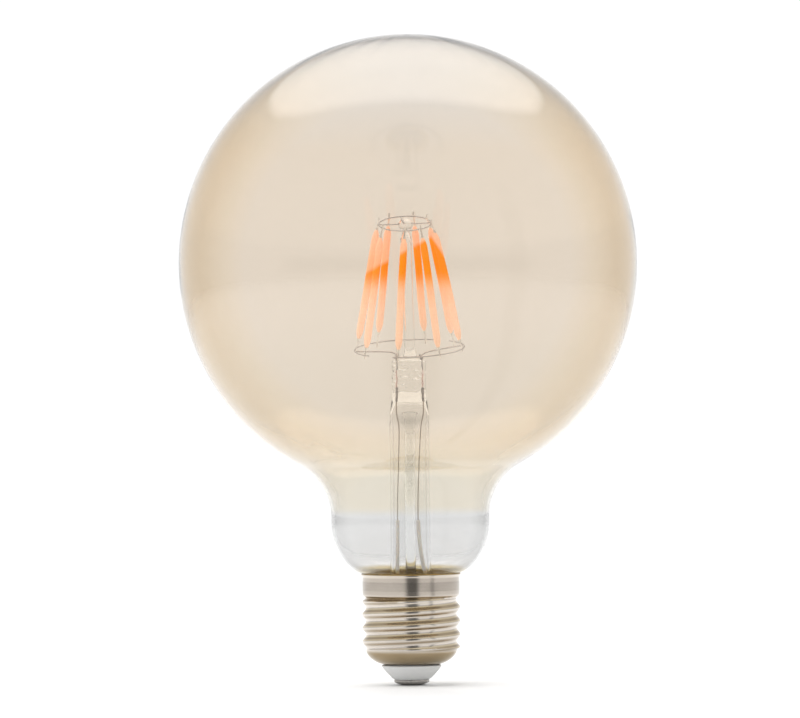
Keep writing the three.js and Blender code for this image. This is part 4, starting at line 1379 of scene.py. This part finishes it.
build_envelope()
build_stem()
build_exhaust_tube()
build_post()
build_rings()
build_filaments()
build_lead_wires()
build_press_welds()
build_cap_shell()
build_cement()
build_insulator()
build_contact()
build_driver()


# ---------------------------------------------------------------- studio


def floor_material():
    m = Nodes("studio_floor", (0.93, 0.93, 0.93), Roughness=0.8)
    m.base(m.mottled(m.noise(6, 3), (0.93, 0.93, 0.93), (0.945, 0.945, 0.945)))
    spread = m.add("ShaderNodeVectorMath", operation="LENGTH")
    m.link(m.coordinates, spread.inputs[0])
    m.link(m.fitted(spread.outputs["Value"], 0.5, 1.3, 1.0, 0.0, smooth=True), m.shader.inputs["Alpha"])
    return m.material


def build_floor():
    """A wide pale floor that the lamp stands on."""
    points, faces = [], []
    segments, radii = 96, [0.0, 200.0, 500.0, 900.0, 1400.0]
    points.append((0, 0, 0))
    for r in radii[1:]:
        points += [tuple(point) for point in circle(r, 0, segments)]
    for k in range(segments):
        faces.append((0, 1 + k, 1 + (k + 1) % segments))
    for row in range(len(radii) - 2):
        a, b = 1 + row * segments, 1 + (row + 1) * segments
        for k in range(segments):
            turn = (k + 1) % segments
            faces.append((a + k, b + k, b + turn, a + turn))
    mesh = bpy.data.meshes.new("studio_floor")
    mesh.from_pydata([(x * MM, y * MM, z * MM - 0.00005) for x, y, z in points], [], faces)
    mesh.materials.append(floor_material())
    floor = bpy.data.objects.new("studio_floor", mesh)
    bpy.context.scene.collection.objects.link(floor)


def area_light(name, position, target, size, radiance):
    """A rectangular softbox of an even brightness."""
    data = bpy.data.lights.new(name, "AREA")
    data.shape = "RECTANGLE"
    data.size, data.size_y = size
    data.energy = radiance * math.pi * size[0] * size[1]
    light = bpy.data.objects.new(name, data)
    light.location = position
    light.rotation_euler = (Vector(target) - Vector(position)).to_track_quat("-Z", "Y").to_euler()
    bpy.context.scene.collection.objects.link(light)
    return light


def build_card(name, bearing, spread, darkness):
    """A dark strip that only gloss sees, as the gap in the studio where the camera stands. It runs
    outwards over the floor and then up, and softens towards its sides and top."""
    rows = [(0.030, 0.0003), (0.120, 0.0003), (0.300, 0.0003), (0.300, 0.180), (0.300, 0.360)]
    points = [(side * spread * reach, -reach, z) for reach, z in rows for side in (-1, 1)]
    faces = [(k, k + 1, k + 3, k + 2) for k in range(0, 2 * len(rows) - 2, 2)]
    mesh = bpy.data.meshes.new(name)
    mesh.from_pydata(points, [], faces)
    m = Nodes(name, (0.0, 0.0, 0.0), Roughness=1.0, Specular_IOR_Level=0.0)
    share = m.sums("ABSOLUTE", m.sums("DIVIDE", m.axis("X"), m.axis("Y")))
    sides = m.fitted(share, spread * 0.35, spread, darkness, 0.0, smooth=True)
    top = m.fitted(m.axis("Z"), 0.20, 0.36, 1.0, 0.0, smooth=True)
    m.link(m.sums("MULTIPLY", sides, top), m.shader.inputs["Alpha"])
    mesh.materials.append(m.material)
    card = bpy.data.objects.new(name, mesh)
    card.rotation_euler = (0, 0, math.radians(bearing))
    card.visible_camera = card.visible_diffuse = card.visible_transmission = card.visible_shadow = False
    bpy.context.scene.collection.objects.link(card)


PATCH_CENTRE = 0.87
PATCH_BRIGHTNESS = 2.0


def build_world():
    """White behind the lamp and grey around it, with a bright round patch overhead and behind. The
    patch is measured where each direction meets a level plane above the lamp."""
    world = bpy.data.worlds.new("studio")
    bpy.context.scene.world = world
    world.use_nodes = True
    g = Graph(world.node_tree, "Generated")

    def grey(height, stops):
        return g.colors(height, [(z, (v, v, v)) for z, v in stops])

    from_horizon = g.sums("ABSOLUTE", g.axis("Z"))
    behind = grey(g.axis("Z"), [(0.14, 1.04), (0.48, 0.50)])
    beside = grey(from_horizon, [(0.10, 0.80), (0.60, 0.76)])
    in_front = grey(from_horizon, [(0.03, 0.46), (0.09, 0.72), (0.60, 0.74)])
    front = g.blend(g.fitted(g.axis("Y"), -0.25, -0.60, smooth=True), beside, in_front)
    walls = g.blend(g.fitted(g.axis("Y"), 0.60, 0.96, smooth=True), front, behind)
    above = g.sums("MAXIMUM", g.axis("Z"), 0.05)
    across = g.sums("DIVIDE", g.axis("X"), above)
    back = g.sums("DIVIDE", g.axis("Y"), above)
    offset = g.sums("SUBTRACT", back, PATCH_CENTRE)
    offset = g.sums("MAXIMUM", g.sums("MULTIPLY", offset, -1), g.sums("MULTIPLY", offset, 0.5))
    squares = [g.sums("MULTIPLY", side, side) for side in (across, offset)]
    spread = g.sums("SQRT", g.sums("ADD", *squares))
    inside = g.fitted(spread, 1.02, 0.78, 0.0, PATCH_BRIGHTNESS, smooth=True)
    patch = g.sums("MULTIPLY", inside, g.fitted(back, 2.9, 0.7, 0.1, 1.0))
    background = g.tree.nodes["Background"]
    background.inputs["Color"].default_value = (1.0, 1.0, 1.0, 1)
    g.link(g.sums("MAXIMUM", walls, patch), background.inputs["Strength"])


VIEW_WIDTH = 213.6
VIEW_DISTANCE = 2.5
AIM_LEFT = 2.342
AIM_BELOW_GLOBE = 25.552
VIEW_ELEVATION = math.radians(0.9)
VIEW_ROLL = math.radians(0.55)
SENSOR_WIDTH = 36


def build_camera():
    """The view's width and aim are in millimetres at the lamp's axis, its distance in metres."""
    target = Vector((-AIM_LEFT, 0, GLOBE_CENTRE_Z - AIM_BELOW_GLOBE)) * MM
    away = Vector((0, -math.cos(VIEW_ELEVATION), math.sin(VIEW_ELEVATION)))
    data = bpy.data.cameras.new("camera")
    data.sensor_width = SENSOR_WIDTH
    data.lens = SENSOR_WIDTH * VIEW_DISTANCE / (VIEW_WIDTH * MM)
    data.clip_end = 50
    camera = bpy.data.objects.new("camera", data)
    turn = away.to_track_quat("Z", "Y").to_matrix().to_4x4()
    place = Matrix.Translation(target + away * VIEW_DISTANCE)
    camera.matrix_world = place @ turn @ Matrix.Rotation(-VIEW_ROLL, 4, "Z")
    bpy.context.scene.collection.objects.link(camera)
    bpy.context.scene.camera = camera


build_floor()
build_world()
build_card("camera_gap", 3, 0.38, 0.78)
build_card("side_gap", 51, 0.12, 0.35)
key = area_light("top_softbox", (-0.3, -0.2, 1.2), (0, 0, 0.05), (1.2, 1.2), 2.0)
key.visible_glossy = False
key.visible_transmission = False
build_camera()
bpy.context.scene.view_settings.view_transform = "Standard"
